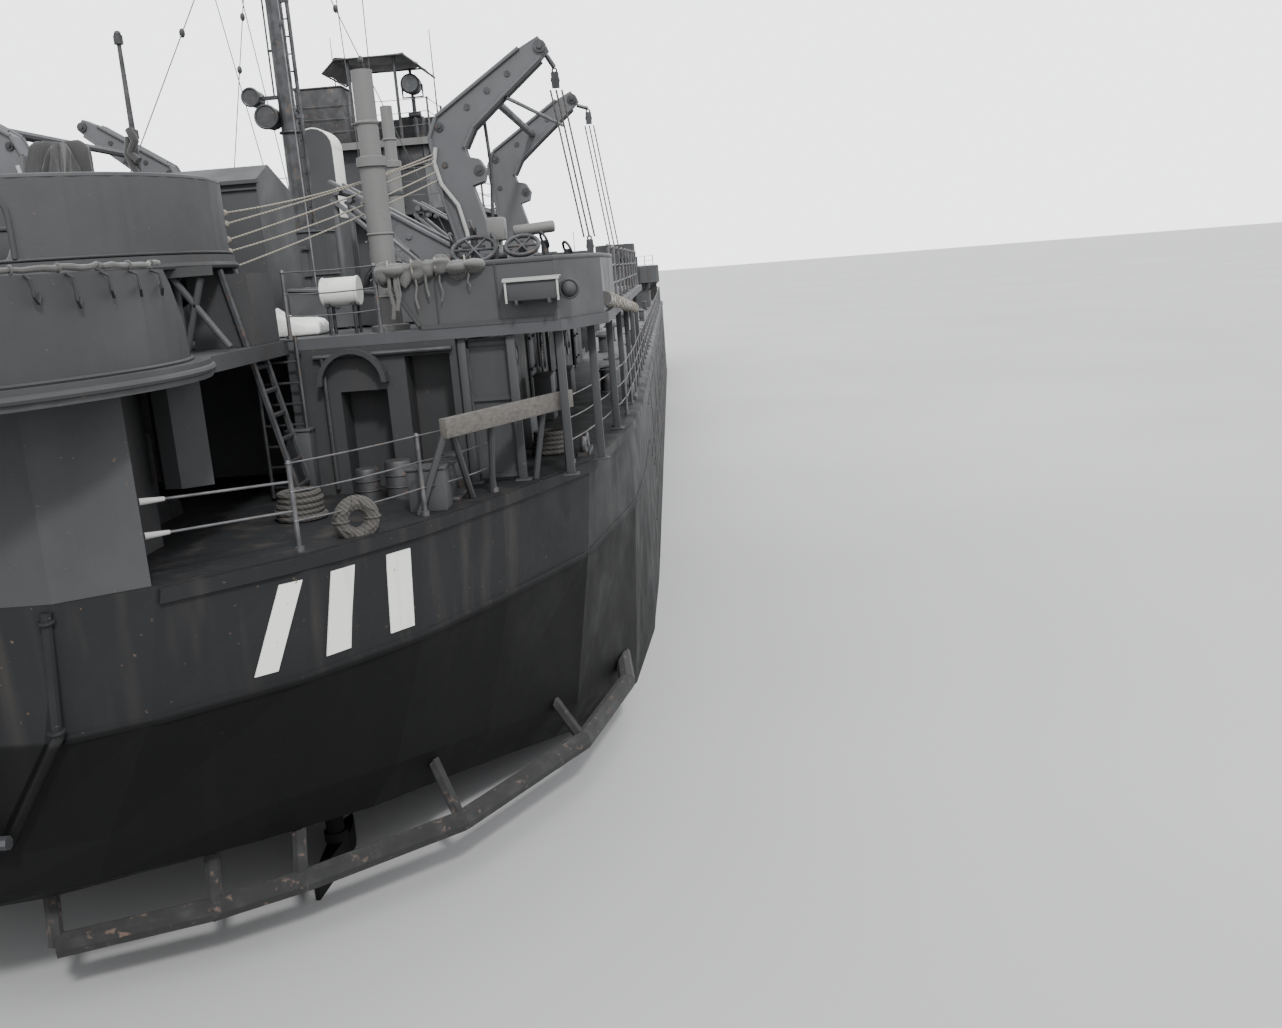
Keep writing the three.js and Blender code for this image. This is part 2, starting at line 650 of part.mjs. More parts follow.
// Bridge: wheelhouse, chart house level and the open conning station. The flag box has its
// port and starboard sides, after and fore ends, and top
const BRIDGE_DECK = UPPER_DECK + 2.4;
const CONN = { floor: 14.45, rim: 15.6, aft: 22.9, fore: 27.1, port: -1.75, starboard: 2.05 };
const CHART_HOUSE_SIDE = 1.7;
const SCREEN = 0.08;
const FLAG_BOX = [-1.7, -0.42, 23.0, 24.0, 16.1];
const AWNING = { port: -1.0, starboard: 1.73, shoulder: 0.38, drop: 0.32, top: 16.95 };

function wheelhouse() {
  const half = [[3.2, 20.8], [3.2, 26.6], [1.9, 27.9]].map(([x, v]) => [x, fromStern(v)]);
  return plate(bothHalves(half), UPPER_DECK + GAP, BRIDGE_DECK);
}

function bridgeDeck() {
  const z = BRIDGE_DECK + GAP;
  const deck = block(-3.5, 3.5, fromStern(20.2), fromStern(28.2), z, z + 0.12);
  const chartHouse = block(-CHART_HOUSE_SIDE, CHART_HOUSE_SIDE, fromStern(23.2), fromStern(26.8),
    z + 0.1, CONN.floor - GAP);
  return deck.add(chartHouse);
}

function connStation() {
  const y0 = fromStern(CONN.aft);
  const y1 = fromStern(CONN.fore);
  const x0 = CONN.port;
  const foot = CONN.floor + 0.1;
  const floor = block(x0, CONN.starboard, y0, y1, CONN.floor, CONN.floor + 0.12);
  const side = block(x0, x0 + SCREEN, y0, y1, foot, CONN.rim);
  const fore = block(x0, CONN.starboard, y1 - SCREEN, y1, foot, CONN.rim);
  const [port, starboard, aft, forward, top] = FLAG_BOX;
  const flagBox = block(port, starboard, fromStern(aft), fromStern(forward), foot, top);
  return join([floor, side, fore, flagBox]);
}

function connCanopy() {
  const y0 = fromStern(CONN.aft + 0.6);
  const y1 = fromStern(CONN.aft + 3.2);
  const { port, starboard, shoulder, drop, top } = AWNING;
  const roof = frame([[port, top - drop], [port + shoulder, top], [starboard - shoulder, top],
    [starboard, top - drop], [starboard - shoulder, top + 0.1], [port + shoulder, top + 0.1]],
  y0, y1);
  const feet = [[port + 0.7, y0 + 0.2], [starboard - 0.7, y0 + 0.2],
    [port + 0.7, y1 - 0.2], [starboard - 0.7, y1 - 0.2]];
  const posts = feet.map(([x, y]) =>
    bar([x, y, CONN.floor + 0.12 + GAP], [x, y, top + 0.05], 0.05, 8));
  return join([roof, ...posts]);
}

// Round-topped casing ahead of the mast
function roundLocker() {
  const x = 0.14;
  const half = 0.45;
  const y = fromStern(18);
  const shoulder = 13.95;
  const lower = block(x - half, x + half, y - half, y + half, UPPER_DECK + GAP, shoulder);
  const top = bar([x, y - half, shoulder], [x, y + half, shoulder], half, 20);
  return lower.add(top);
}

// Boat davits. Each arm leans outboard and runs in and out on an inclined track
const DAVIT_V = [8.2, 14.6];
const DAVIT_TRAVEL = [-2.75, 0.26];
const ARM_HALF = 0.17;

// Arm outline in x and height over the upper deck, from the heel round to the head and back
const ARM_OUTLINE = [[5.15, 0.3], [5.7, 0.3], [5.7, 0.8], [5.48, 1.72], [5.36, 2.14],
  [5.55, 2.2], [5.6, 2.38], [5.5, 2.56], [5.33, 2.6], [5.29, 2.75], [5.46, 3.05], [5.96, 3.47],
  [6.64, 4.02], [6.78, 4.16], [6.64, 4.36], [6.32, 4.2], [4.88, 3.26], [4.74, 2.94],
  [4.86, 1.96], [5.05, 1.2]];

function davitArms() {
  const arms = DAVIT_V.map((v) => {
    const y = fromStern(v);
    return frame(ARM_OUTLINE.map(([x, h]) => [x, UPPER_DECK + h]), y - ARM_HALF, y + ARM_HALF);
  });
  const [y0, y1] = DAVIT_V.map(fromStern);
  const spreader = bar([5.75, y0, UPPER_DECK + 3.55], [5.75, y1, UPPER_DECK + 3.55], 0.07, 8);
  return join([...arms, spreader]);
}

// Fixed trackways: a rail under each arm between two cheeks with a raking stay
const TRACK_CHEEK = [[5.8, 0.04], [5.8, 0.3], [5.25, 0.38], [5.1, 1.1], [3.9, 1.85], [3.9, 1.6],
  [4.5, 1.0], [4.35, 0.48], [2.2, 0.68], [2.2, 0.04]];
const TRACK_RAIL = [[5.8, 0.04], [5.8, 0.18], [2.2, 0.52], [2.2, 0.04]];
const CHEEK_INSIDE = 0.32;
const CHEEK_OUTSIDE = 0.52;

function davitFrames() {
  const bodies = [];
  const raised = (outline) => outline.map(([x, h]) => [x, UPPER_DECK + h]);
  for (const v of DAVIT_V) {
    const y = fromStern(v);
    bodies.push(frame(raised(TRACK_CHEEK), y - CHEEK_OUTSIDE, y - CHEEK_INSIDE));
    bodies.push(frame(raised(TRACK_CHEEK), y + CHEEK_INSIDE, y + CHEEK_OUTSIDE));
    bodies.push(frame(raised(TRACK_RAIL), y - CHEEK_OUTSIDE, y + CHEEK_OUTSIDE));
  }
  const [y0, y1] = DAVIT_V.map(fromStern);
  bodies.push(block(4.4, 5.8, y0 - 0.6, y1 + 0.6, UPPER_DECK + GAP, UPPER_DECK + 0.08));
  return join(bodies);
}

function boatWinch() {
  const y = fromStern(10.0);
  const z = UPPER_DECK + GAP;
  const x = 3.55;
  const bed = block(x - 0.5, x + 0.5, y - 0.9, y + 0.9, z, z + 0.15);
  const drum = bar([x, y - 0.7, z + 0.6], [x, y + 0.7, z + 0.6], 0.32, 12);
  const cheeks = [-0.75, 0.75].map((step) =>
    bar([x, y + step - 0.06, z + 0.6], [x, y + step + 0.06, z + 0.6], 0.5, 12));
  return join([bed, drum, ...cheeks, block(x - 0.4, x + 0.4, y - 0.3, y + 0.3, z + 0.1, z + 0.5)]);
}

// Open gun tubs, kept empty: [name, x, y, deck, radius, rim height, foot]
const TUBS = [
  ["bow_tub", 0, 46.2, 11.0, 1.9, 1.0, FORECASTLE],
  ["midship_tub_starboard", 6.15, 24, 9.4, 1.45, 1.0, MAIN_DECK],
  ["midship_tub_port", -6.15, 24, 9.4, 1.45, 1.0, MAIN_DECK],
  ["forward_tub_starboard", 4.0, 40.4, 11.2, 1.6, 1.0, FORECASTLE],
  ["forward_tub_port", -4.0, 40.4, 11.2, 1.6, 1.0, FORECASTLE],
];

function openTub([, x, y, floor, radius, rim, foot]) {
  return turned([[0, foot + GAP], [radius * 0.55, foot + GAP], [radius * 0.55, floor - 0.1],
    [radius, floor - 0.1], [radius, floor + rim], [radius - 0.09, floor + rim],
    [radius - 0.09, floor], [0, floor]], x, y, 32);
}

function windlass() {
  const y = 42.4;
  const z = FORECASTLE + GAP;
  const bed = block(-1.4, 1.4, y - 0.7, y + 0.7, z, z + 0.2);
  const drum = bar([-1.5, y, z + 0.75], [1.5, y, z + 0.75], 0.3, 16);
  const wheels = [-0.8, 0.8].map((x) => bar([x - 0.12, y, z + 0.75], [x + 0.12, y, z + 0.75], 0.5, 16));
  const posts = [-0.4, 0.4].map((x) => block(x - 0.1, x + 0.1, y - 0.3, y + 0.3, z + 0.1, z + 1.0));
  return join([bed, drum, ...wheels, ...posts]);
}

add("hull_stern", "hull", hullStern());
add("hull_bottom", "hull", hullBottom());
addPair("hull_side", "hull", hullSide());
add("main_deck", "deck", mainDeck());
add("cargo_hatch", "gear", cargoHatch());
add("forecastle", "hull", forecastle());
add("bow_bulwark", "hull", bowBulwark());
addPair("bow_door", "hull", bowDoor());
add("bow_ramp", "gear", bowRamp());
addPair("propeller", "bronze", propeller());
addPair("rudder", "hull", rudder());
addPair("propeller_guard", "gear", propellerGuard());
add("stern_anchor", "gear", sternAnchor());
add("stern_winch", "gear", sternWinch());
addPair("poop_block", "house", poopBlock());
addPair("side_locker", "house", sideLocker());
add("stern_platform", "house", sternPlatform());
add("tub_trunk", "house", tubTrunk());
add("raised_tub", "house", raisedTub());
add("covered_mount", "canvas",
  coveredMound(0.35, fromStern(RAISED_TUB.v), TUB_DECK + 0.04 + GAP, 1.5, 2.3, 1.6));
add("deckhouse", "house", deckhouse());
add("upper_deck", "deck", upperDeck());
addPair("quarter_bulwark", "house", quarterBulwark());
addPair("trunk_box", "house", trunkBox());
add("shelter", "house", shelter());
add("mast_house", "house", mastHouse());
add("mast", "gear", mast());
add("galley_stack", "house", stack(STACKS[0]));
add("engine_stack", "house", stack(STACKS[1]));
add("wheelhouse", "house", wheelhouse());
add("bridge_deck", "house", bridgeDeck());
add("conn_station", "house", connStation());
add("conn_canopy", "canvas", connCanopy());
add("round_locker", "pale", roundLocker());
addPair("davit_frames", "gear", davitFrames());
add("davit_arms_starboard", "gear", davitArms());
add("davit_arms_port", "gear", moved(mirrored(davitArms()), -DAVIT_TRAVEL[0], 0, DAVIT_TRAVEL[1]));
addPair("boat_winch", "gear", boatWinch());
for (const row of TUBS) {
  add(row[0], "house", openTub(row));
}
add("anchor_windlass", "gear", windlass());

export default ship;
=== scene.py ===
"""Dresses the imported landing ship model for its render: finishes, fittings, rigging and stage."""

import json
import math
import random

import bpy
from mathutils import Matrix, Vector
from mathutils.bvhtree import BVHTree


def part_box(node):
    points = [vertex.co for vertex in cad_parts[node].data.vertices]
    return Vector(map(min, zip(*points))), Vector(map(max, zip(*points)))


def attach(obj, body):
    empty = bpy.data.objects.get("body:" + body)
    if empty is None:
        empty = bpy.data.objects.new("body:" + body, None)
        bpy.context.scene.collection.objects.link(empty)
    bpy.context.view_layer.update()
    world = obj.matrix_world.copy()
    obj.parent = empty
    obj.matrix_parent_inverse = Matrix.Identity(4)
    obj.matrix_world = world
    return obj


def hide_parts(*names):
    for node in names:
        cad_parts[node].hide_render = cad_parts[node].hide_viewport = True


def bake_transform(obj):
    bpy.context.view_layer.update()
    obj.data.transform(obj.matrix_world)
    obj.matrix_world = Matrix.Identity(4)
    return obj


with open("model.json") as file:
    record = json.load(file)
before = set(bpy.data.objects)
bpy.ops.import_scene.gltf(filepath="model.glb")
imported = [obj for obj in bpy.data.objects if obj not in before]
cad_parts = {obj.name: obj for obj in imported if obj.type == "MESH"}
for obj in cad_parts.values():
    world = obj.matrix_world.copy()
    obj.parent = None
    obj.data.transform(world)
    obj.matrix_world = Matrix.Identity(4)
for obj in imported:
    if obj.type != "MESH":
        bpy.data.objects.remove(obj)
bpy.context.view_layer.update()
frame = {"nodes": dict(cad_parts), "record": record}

bl_info = {
    "name": "Landing ship fittings",
    "version": (1, 0, 0),
    "blender": (4, 5, 0),
    "location": "View3D > Sidebar > Landing ship",
    "description": "Paint, fittings, canvas and rigging for a 1:10 tank landing ship",
    "category": "Object",
}

# Sizes in the tables are the full-size ship's metres; the model is a tenth of them
MODEL = 0.1
STERN = -47.45
KNUCKLE = 6.15
MAIN_DECK = 7.67
UPPER_DECK = 9.97
FORECASTLE = 10.1
TUB_FLOOR = 11.21
TUB_RIM = 12.17
TUB_V = 4.0
TUB_RADIUS = 2.5
PLATFORM_V = 0.7
PLATFORM_RADIUS = 3.02
PLATFORM_RIM = 11.0
MAST_V = 16.35
WATERLINE = 2.5
HOUSE_SIDE = 5.36
WHEELHOUSE_SIDE = 3.21
FORECASTLE_WALL_V = 84.95
BULWARK_TOP = UPPER_DECK + 0.86
RAIL_SHARES = (0.35, 0.68, 1.0)
SHIP = "ship"

# Turns of a ring or disc whose axis lies across or along the ship, and the flip to port
ACROSS = (0, math.pi / 2, 0)
ALONG = (math.pi / 2, 0, 0)
FLIP = Matrix.Scale(-1, 4, (1, 0, 0))

# Finish and slot of each kind of piece
HOUSE = ("house finish", "house_paint")
LIGHT = ("light finish", "house_paint")
SHELL = ("hull finish", "hull_paint")
DECK = ("deck finish", "deck_paint")
PALE = ("pale finish", "pale_paint")
MARK = ("mark finish", "pale_paint")
GEAR = ("gear finish", "gear_steel")
DARK_GEAR = ("dark gear finish", "gear_steel")
DAVIT = ("davit finish", "gear_steel")
WIRE = ("wire finish", "gear_steel")
ROPE = ("rope finish", "gear_steel")
TARRED_ROPE = ("tarred rope finish", "gear_steel")
CANVAS = ("canvas finish", "canvas")
DARK_CANVAS = ("dark canvas finish", "canvas")


# Helpers for places and selection
def at(x, v, z):
    """A point from metres to starboard, metres ahead of the stern corner and height."""
    return Vector((x, v + STERN, z)) * MODEL


HOME = Matrix.Translation(-at(0, 0, 0))


def around(x, v, radius, degrees):
    """A place on a circle round x and v."""
    a = math.radians(degrees)
    return x + radius * math.cos(a), v + radius * math.sin(a)


def deselect():
    if bpy.context.object and bpy.context.object.mode != "OBJECT":
        bpy.ops.object.mode_set(mode="OBJECT")
    bpy.ops.object.select_all(action="DESELECT")


def only(*objects):
    deselect()
    for one in objects:
        one.select_set(True)
    bpy.context.view_layer.objects.active = objects[0]


def settled(obj):
    """Puts an object's place into its mesh."""
    only(obj)
    bpy.ops.object.transform_apply(location=True, rotation=True, scale=True)
    return obj


def reshaped(obj, *steps):
    """Runs edit-mode steps on the whole of a mesh."""
    only(obj)
    bpy.ops.object.mode_set(mode="EDIT")
    bpy.ops.mesh.select_all(action="SELECT")
    for step in steps:
        step()
    bpy.ops.object.mode_set(mode="OBJECT")
    return obj


def faced_out():
    bpy.ops.mesh.normals_make_consistent(inside=False)


def from_places(name, vertices, edges, faces):
    """An object from its own corners, edges and faces."""
    mesh = bpy.data.meshes.new(name)
    mesh.from_pydata(vertices, edges, faces)
    obj = bpy.data.objects.new(name, mesh)
    bpy.context.collection.objects.link(obj)
    return obj


def slab(x0, x1, v0, v1, z0, z1):
    """A block between two corners."""
    deselect()
    low, high = at(x0, v0, z0), at(x1, v1, z1)
    bpy.ops.mesh.primitive_cube_add(size=1, location=(low + high) / 2, scale=high - low)
    return settled(bpy.context.object)


def rod(start, end, radius, sides=10, tip=None):
    """A round bar between two places, tapering to the tip's radius."""
    a, b = at(*start), at(*end)
    deselect()
    turn = (b - a).to_track_quat("Z", "Y").to_euler()
    place = {"location": (a + b) / 2, "rotation": turn}
    if tip is None:
        bpy.ops.mesh.primitive_cylinder_add(
            vertices=sides, radius=radius * MODEL, depth=(b - a).length, **place)
    else:
        bpy.ops.mesh.primitive_cone_add(
            vertices=sides, radius1=radius * MODEL, radius2=tip * MODEL,
            depth=(b - a).length, **place)
    return settled(bpy.context.object)


def upright(x, v, z, height, radius, sides=10, tip=None):
    """A round bar that stands on a place."""
    return rod((x, v, z), (x, v, z + height), radius, sides, tip)


def slabs(rows, deck=0.0):
    """Blocks from rows of x0, x1, v0, v1 and two heights above a deck."""
    return [slab(*row[:4], deck + row[4], deck + row[5]) for row in rows]


def path_over(deck, places):
    """Places whose heights are given above a deck."""
    return [(x, v, deck + z) for x, v, z in places]


def turned_about(obj, degrees, x=0.0, v=0.0, z=0.0):
    """A copy of an object built at the origin, turned about an upright axis and set at a place."""
    spot = Matrix.Translation(at(x, v, z))
    return moved_copy(obj, spot @ Matrix.Rotation(math.radians(degrees), 4, "Z") @ HOME)


def round_about(obj, angles, x=0.0, v=0.0, z=0.0):
    """One copy of an object built at the origin for each angle, in place of the object."""
    copies = [turned_about(obj, degrees, x, v, z) for degrees in angles]
    bpy.data.objects.remove(obj)
    return copies


def knee(block, point, normal):
    """A thin block with its corner cut off by a sloping plane."""
    return reshaped(slab(*block), lambda: bpy.ops.mesh.bisect(
        plane_co=at(*point), plane_no=normal, clear_outer=True, use_fill=True))


def ball(place, radius, squash=1.0, rings=8):
    deselect()
    r = radius * MODEL
    bpy.ops.mesh.primitive_uv_sphere_add(
        segments=rings * 2, ring_count=rings, radius=1, location=at(*place),
        scale=(r, r, r * squash))
    return settled(bpy.context.object)


def ring(place, radius, thickness, rotation=(0, 0, 0), segments=28):
    deselect()
    bpy.ops.mesh.primitive_torus_add(
        location=at(*place), rotation=rotation, major_segments=segments, minor_segments=8,
        major_radius=radius * MODEL, minor_radius=thickness * MODEL)
    return settled(bpy.context.object)


def line_curve(points, radius, sides=2):
    """A curve object with a round section through model-space points."""
    deselect()
    bpy.ops.curve.primitive_bezier_curve_add()
    obj = bpy.context.object
    obj.location = (0, 0, 0)
    data = obj.data
    data.splines.clear()
    spline = data.splines.new("POLY")
    spline.points.add(len(points) - 1)
    for point, place in zip(spline.points, points):
        point.co = (*place, 1)
    data.dimensions = "3D"
    data.bevel_depth = radius * MODEL
    data.bevel_resolution = sides
    data.use_fill_caps = True
    return obj


def as_mesh(obj):
    only(obj)
    bpy.ops.object.convert(target="MESH")
    return bpy.context.object


def wire(places, radius, sides=2):
    """A wire or thin pipe through a row of places."""
    return as_mesh(line_curve([at(*p) for p in places], radius, sides))


def sagging(start, end, sag, count=16):
    """Places along a line that hangs a little between its ends."""
    a, b = Vector(start), Vector(end)
    rows = []
    for i in range(count + 1):
        t = i / count
        p = a.lerp(b, t)
        p.z -= sag * 4 * t * (1 - t)
        rows.append(tuple(p))
    return rows


def spun(rows, x, v, steps):
    """A profile of radius and height spun about an upright axis."""
    corners = [at(x + r, v, z) for r, z in rows]
    obj = from_places("profile", corners, [(i, i + 1) for i in range(len(corners) - 1)], [])
    reshaped(obj, lambda: bpy.ops.mesh.spin(
        steps=steps, angle=math.tau, center=at(x, v, 0), axis=(0, 0, 1)))
    return reshaped(obj, lambda: bpy.ops.mesh.remove_doubles(threshold=1e-6), faced_out)


def moved_copy(obj, matrix):
    """A copy with its own mesh, changed by a matrix in model space."""
    twin = obj.copy()
    twin.data = obj.data.copy()
    twin.data.transform(matrix)
    if matrix.determinant() < 0:
        twin.data.flip_normals()
    bpy.context.collection.objects.link(twin)
    return twin


def mirrored(objects):
    """Adds each part's twin on the other side of the ship."""
    return [*objects, *[moved_copy(one, FLIP) for one in objects]]


def joined(objects):
    if len(objects) > 1:
        only(*objects)
        bpy.ops.object.join()
        return bpy.context.object
    return objects[0]


def rounded(obj, width, segments=2):
    """Bevels the sharp edges."""
    only(obj)
    bevel = obj.modifiers.new("bevel", "BEVEL")
    bevel.width = width * MODEL
    bevel.segments = segments
    bevel.limit_method = "ANGLE"
    bevel.angle_limit = math.radians(40)
    bpy.ops.object.modifier_apply(modifier=bevel.name)
    return obj


def made(name, objects, look, body=SHIP, edge=0.0, smooth=35):
    """Joins the parts into one named piece, with its finish and body."""
    finish, slot = look
    obj = joined(objects)
    if edge:
        rounded(obj, edge)
    only(obj)
    bpy.ops.object.shade_smooth_by_angle(angle=math.radians(smooth))
    obj.name = name
    obj.data.name = name
    obj.data.materials.clear()
    obj.data.materials.append(bpy.data.materials[finish])
    if body:
        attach(obj, body)
    return obj


def pair(name, parts, look, bodies, flip=FLIP):
    """A starboard piece and its twin to port, each on its own body."""
    twins = [moved_copy(one, flip) for one in parts]
    made(f"{name}_starboard", parts, look, bodies[0])
    made(f"{name}_port", twins, look, bodies[1])


def skin(*nodes):
    """A search tree over CAD nodes, to lay fittings on their surface."""
    vertices = []
    faces = []
    for node in nodes:
        mesh = frame["nodes"][node].data
        base = len(vertices)
        vertices.extend([v.co.copy() for v in mesh.vertices])
        faces.extend([[base + i for i in p.vertices] for p in mesh.polygons])
    return BVHTree.FromPolygons(vertices, faces)


def ribbon(rows, thickness):
    """A thin closed band through pairs of points with a thickness inwards."""
    vertices = []
    faces = []
    for low, high, normal in rows:
        inward = -normal * thickness * MODEL
        vertices.extend([low, high, high + inward, low + inward])
    for i in range(len(rows) - 1):
        a, b = 4 * i, 4 * i + 4
        for k in range(4):
            n = (k + 1) % 4
            faces.append((a + k, b + k, b + n, a + n))
    faces.append((3, 2, 1, 0))
    last = 4 * (len(rows) - 1)
    faces.append((last, last + 1, last + 2, last + 3))
    return reshaped(from_places("band", vertices, [], faces), faced_out)


HULL = skin("hull_stern", "hull_bottom", "hull_side_starboard", "main_deck", "forecastle")


def hull_side(y, z, off=0.0):
    """The starboard skin's place and normal at a length and height, in ship metres."""
    hit = HULL.ray_cast(Vector((1.5, y * MODEL, z * MODEL)), Vector((-1, 0, 0)))
    if hit[0] is None:
        return None
    normal = hit[1] if hit[1].x > 0 else -hit[1]
    return hit[0] + normal * off * MODEL, normal


def deck_edge_x(v, inset):
    """Distance to starboard of a place just inside the main deck's edge."""
    return hull_side(STERN + v, MAIN_DECK - 0.2)[0].x / MODEL - inset


# Finishes
def node(tree, kind, place=(0, 0), **values):
    made_node = tree.nodes.new(kind)
    made_node.location = place
    for key, value in values.items():
        if key in made_node.inputs:
            made_node.inputs[key].default_value = value
        else:
            setattr(made_node, key, value)
    return made_node


def ramp(tree, source, stops):
    made_node = tree.nodes.new("ShaderNodeValToRGB")
    elements = made_node.color_ramp.elements
    while len(elements) < len(stops):
        elements.new(0.5)
    for element, (position, value) in zip(elements, stops):
        element.position = position
        element.color = (*value, 1) if isinstance(value, tuple) else (value, value, value, 1)
    tree.links.new(source, made_node.inputs["Fac"])
    return made_node.outputs["Color"]


def mixed(tree, factor, first, second, how="MIX"):
    made_node = tree.nodes.new("ShaderNodeMix")
    made_node.data_type = "RGBA"
    made_node.blend_type = how
    made_node.clamp_factor = True
    for name, value in (("Factor", factor), ("A", first), ("B", second)):
        socket = [s for s in made_node.inputs if s.name == name and s.enabled][-1]
        if isinstance(value, bpy.types.NodeSocket):
            tree.links.new(value, socket)
        elif isinstance(value, tuple):
            socket.default_value = (*value, 1)
        else:
            socket.default_value = value
    return [s for s in made_node.outputs if s.enabled][-1]


def noise(tree, coords, scale, detail=4.0, stretch=(1, 1, 1), roughness=0.55):
    mapping = node(tree, "ShaderNodeMapping", Scale=stretch)
    tree.links.new(coords, mapping.inputs["Vector"])
    texture = node(tree, "ShaderNodeTexNoise", Scale=scale, Detail=detail, Roughness=roughness)
    tree.links.new(mapping.outputs["Vector"], texture.inputs["Vector"])
    return texture.outputs["Fac"]


def new_finish(name):
    material = bpy.data.materials.new(name)
    material.use_nodes = True
    tree = material.node_tree
    shader = tree.nodes["Principled BSDF"]
    coords = tree.nodes.new("ShaderNodeTexCoord").outputs["Object"]
    return tree, shader, coords


def bumped(tree, shader, heights):
    """Chains bumps: [height socket, strength, distance]."""
    normal = None
    for height, strength, distance in heights:
        bump = node(tree, "ShaderNodeBump", Strength=strength, Distance=distance)
        tree.links.new(height, bump.inputs["Height"])
        if normal is not None:
            tree.links.new(normal, bump.inputs["Normal"])
        normal = bump.outputs["Normal"]
    tree.links.new(normal, shader.inputs["Normal"])


def ship_paint(name, tone, streaks, patches, rough=0.62, dark_low_and_painted_shade=False):
    """Weathered ship's paint: faded patches, runs of rust and dirt, and slightly dished plates; on the hull
    also darker towards the bottom, with painted shade below the knuckle.
    """
    tree, shader, coords = new_finish(name)
    tone = tuple(tone)
    dark = tuple(c * 0.62 for c in tone)
    light = tuple(min(1, c * 1.45 + 0.004) for c in tone)
    patch = ramp(tree, noise(tree, coords, 3.2, 6), [(0.32, 0.0), (0.7, 1.0)])
    colour = mixed(tree, patch, dark, light)
    colour = mixed(tree, 1 - 0.65 * patches, colour, tone)
    run = ramp(tree, noise(tree, coords, 26, 3, (1, 1, 0.06)), [(0.52, 0.0), (0.72, 1.0)])
    area = ramp(tree, noise(tree, coords, 2.1, 2), [(0.4, 0.15), (0.62, 1.0)])
    worn = mixed(tree, 1.0, run, area, "MULTIPLY")
    run_amount = mixed(tree, 1.0, worn, (streaks,) * 3, "MULTIPLY")
    colour = mixed(tree, run_amount, colour, (0.028, 0.025, 0.022))
    pale_run = ramp(tree, noise(tree, coords, 34, 2, (1, 1, 0.05)), [(0.6, 0.0), (0.8, 0.55)])
    pale_amount = mixed(tree, 1.0, pale_run, (streaks * 0.6,) * 3, "MULTIPLY")
    colour = mixed(tree, pale_amount, colour, light)
    fleck = ramp(tree, noise(tree, coords, 150, 2), [(0.71, 0.0), (0.76, 0.8)])
    colour = mixed(tree, fleck, colour, (0.07, 0.05, 0.035))
    if dark_low_and_painted_shade:
        split = node(tree, "ShaderNodeSeparateXYZ")
        tree.links.new(coords, split.inputs["Vector"])
        # Darker towards the bottom: down to 0.45 of the tone at about 4 m, fading out by about 7.2 m, along a
        # ragged edge
        ragged_height = node(tree, "ShaderNodeMath", operation="MULTIPLY_ADD")
        tree.links.new(noise(tree, coords, 9, 5), ragged_height.inputs[0])
        ragged_height.inputs[1].default_value = 0.09
        tree.links.new(split.outputs["Z"], ragged_height.inputs[2])
        depth = ramp(tree, ragged_height.outputs[0], [(0.40, 1.0), (0.72, 0.0)])
        colour = mixed(tree, depth, colour, tuple(c * 0.45 for c in tone))
        # Painted shade: below the knuckle the colour is multiplied by 0.15, standing for the shade on the
        # inward-sloping lower hull
        below = ramp(tree, split.outputs["Z"], [(KNUCKLE * MODEL - 0.002, 1.0), (KNUCKLE * MODEL, 0.0)])
        colour = mixed(tree, below, colour, (0.15, 0.15, 0.15), "MULTIPLY")
    tree.links.new(colour, shader.inputs["Base Color"])
    gloss = ramp(tree, noise(tree, coords, 12, 4), [(0.3, rough - 0.1), (0.75, rough + 0.2)])
    tree.links.new(gloss, shader.inputs["Roughness"])
    shader.inputs["Specular IOR Level"].default_value = 0.14 if dark_low_and_painted_shade else 0.22
    wave = node(tree, "ShaderNodeTexWave", Scale=1.6, Distortion=1.5, Detail=1.0)
    wave.bands_direction = "Y"
    tree.links.new(coords, wave.inputs["Vector"])
    bumped(tree, shader, [
        (wave.outputs["Fac"], 0.12, 0.004),
        (noise(tree, coords, 7, 3), 0.2, 0.006),
        (noise(tree, coords, 240, 3), 0.16, 0.0012),
    ])


def bare_steel(name, tone, rough, metal):
    """Dull handled steel with grease and chips."""
    tree, shader, coords = new_finish(name)
    grain = ramp(tree, noise(tree, coords, 40, 5), [(0.3, 0.0), (0.7, 1.0)])
    colour = mixed(tree, grain, tuple(c * 0.55 for c in tone), tuple(c * 1.35 for c in tone))
    rust = ramp(tree, noise(tree, coords, 75, 4), [(0.6, 0.0), (0.68, 0.75)])
    colour = mixed(tree, rust, colour, (0.06, 0.04, 0.03))
    tree.links.new(colour, shader.inputs["Base Color"])
    tree.links.new(ramp(tree, grain, [(0.0, rough + 0.2), (1.0, rough)]), shader.inputs["Roughness"])
    shader.inputs["Metallic"].default_value = metal
    bumped(tree, shader, [(noise(tree, coords, 160, 3), 0.25, 0.001)])


def weave_cloth(name, tone, threads=143.312):
    """Woven canvas with stains and fine threads."""
    tree, shader, coords = new_finish(name)
    stain = ramp(tree, noise(tree, coords, 9, 6), [(0.3, 0.0), (0.72, 1.0)])
    colour = mixed(tree, stain, tuple(c * 0.6 for c in tone), tuple(min(1, c * 1.3) for c in tone))
    tree.links.new(colour, shader.inputs["Base Color"])
    shader.inputs["Roughness"].default_value = 0.93
    shader.inputs["Sheen Weight"].default_value = 0.15
    heights = []
    for direction in "XZ":
        wave = node(tree, "ShaderNodeTexWave", Scale=threads, Distortion=0.6)
        wave.bands_direction = direction
        tree.links.new(coords, wave.inputs["Vector"])
        heights.append((wave.outputs["Fac"], 0.25, 0.0006))
    heights.append((noise(tree, coords, 30, 4), 0.35, 0.004))
    bumped(tree, shader, heights)


def plain_wood(name, tone):
    """Weathered planks with grain along the ship."""
    tree, shader, coords = new_finish(name)
    grain = ramp(tree, noise(tree, coords, 60, 6, (4, 0.2, 4)), [(0.3, 0.0), (0.7, 1.0)])
    colour = mixed(tree, grain, tuple(c * 0.5 for c in tone), tone)
    tree.links.new(colour, shader.inputs["Base Color"])
    shader.inputs["Roughness"].default_value = 0.85
    bumped(tree, shader, [(grain, 0.4, 0.001)])


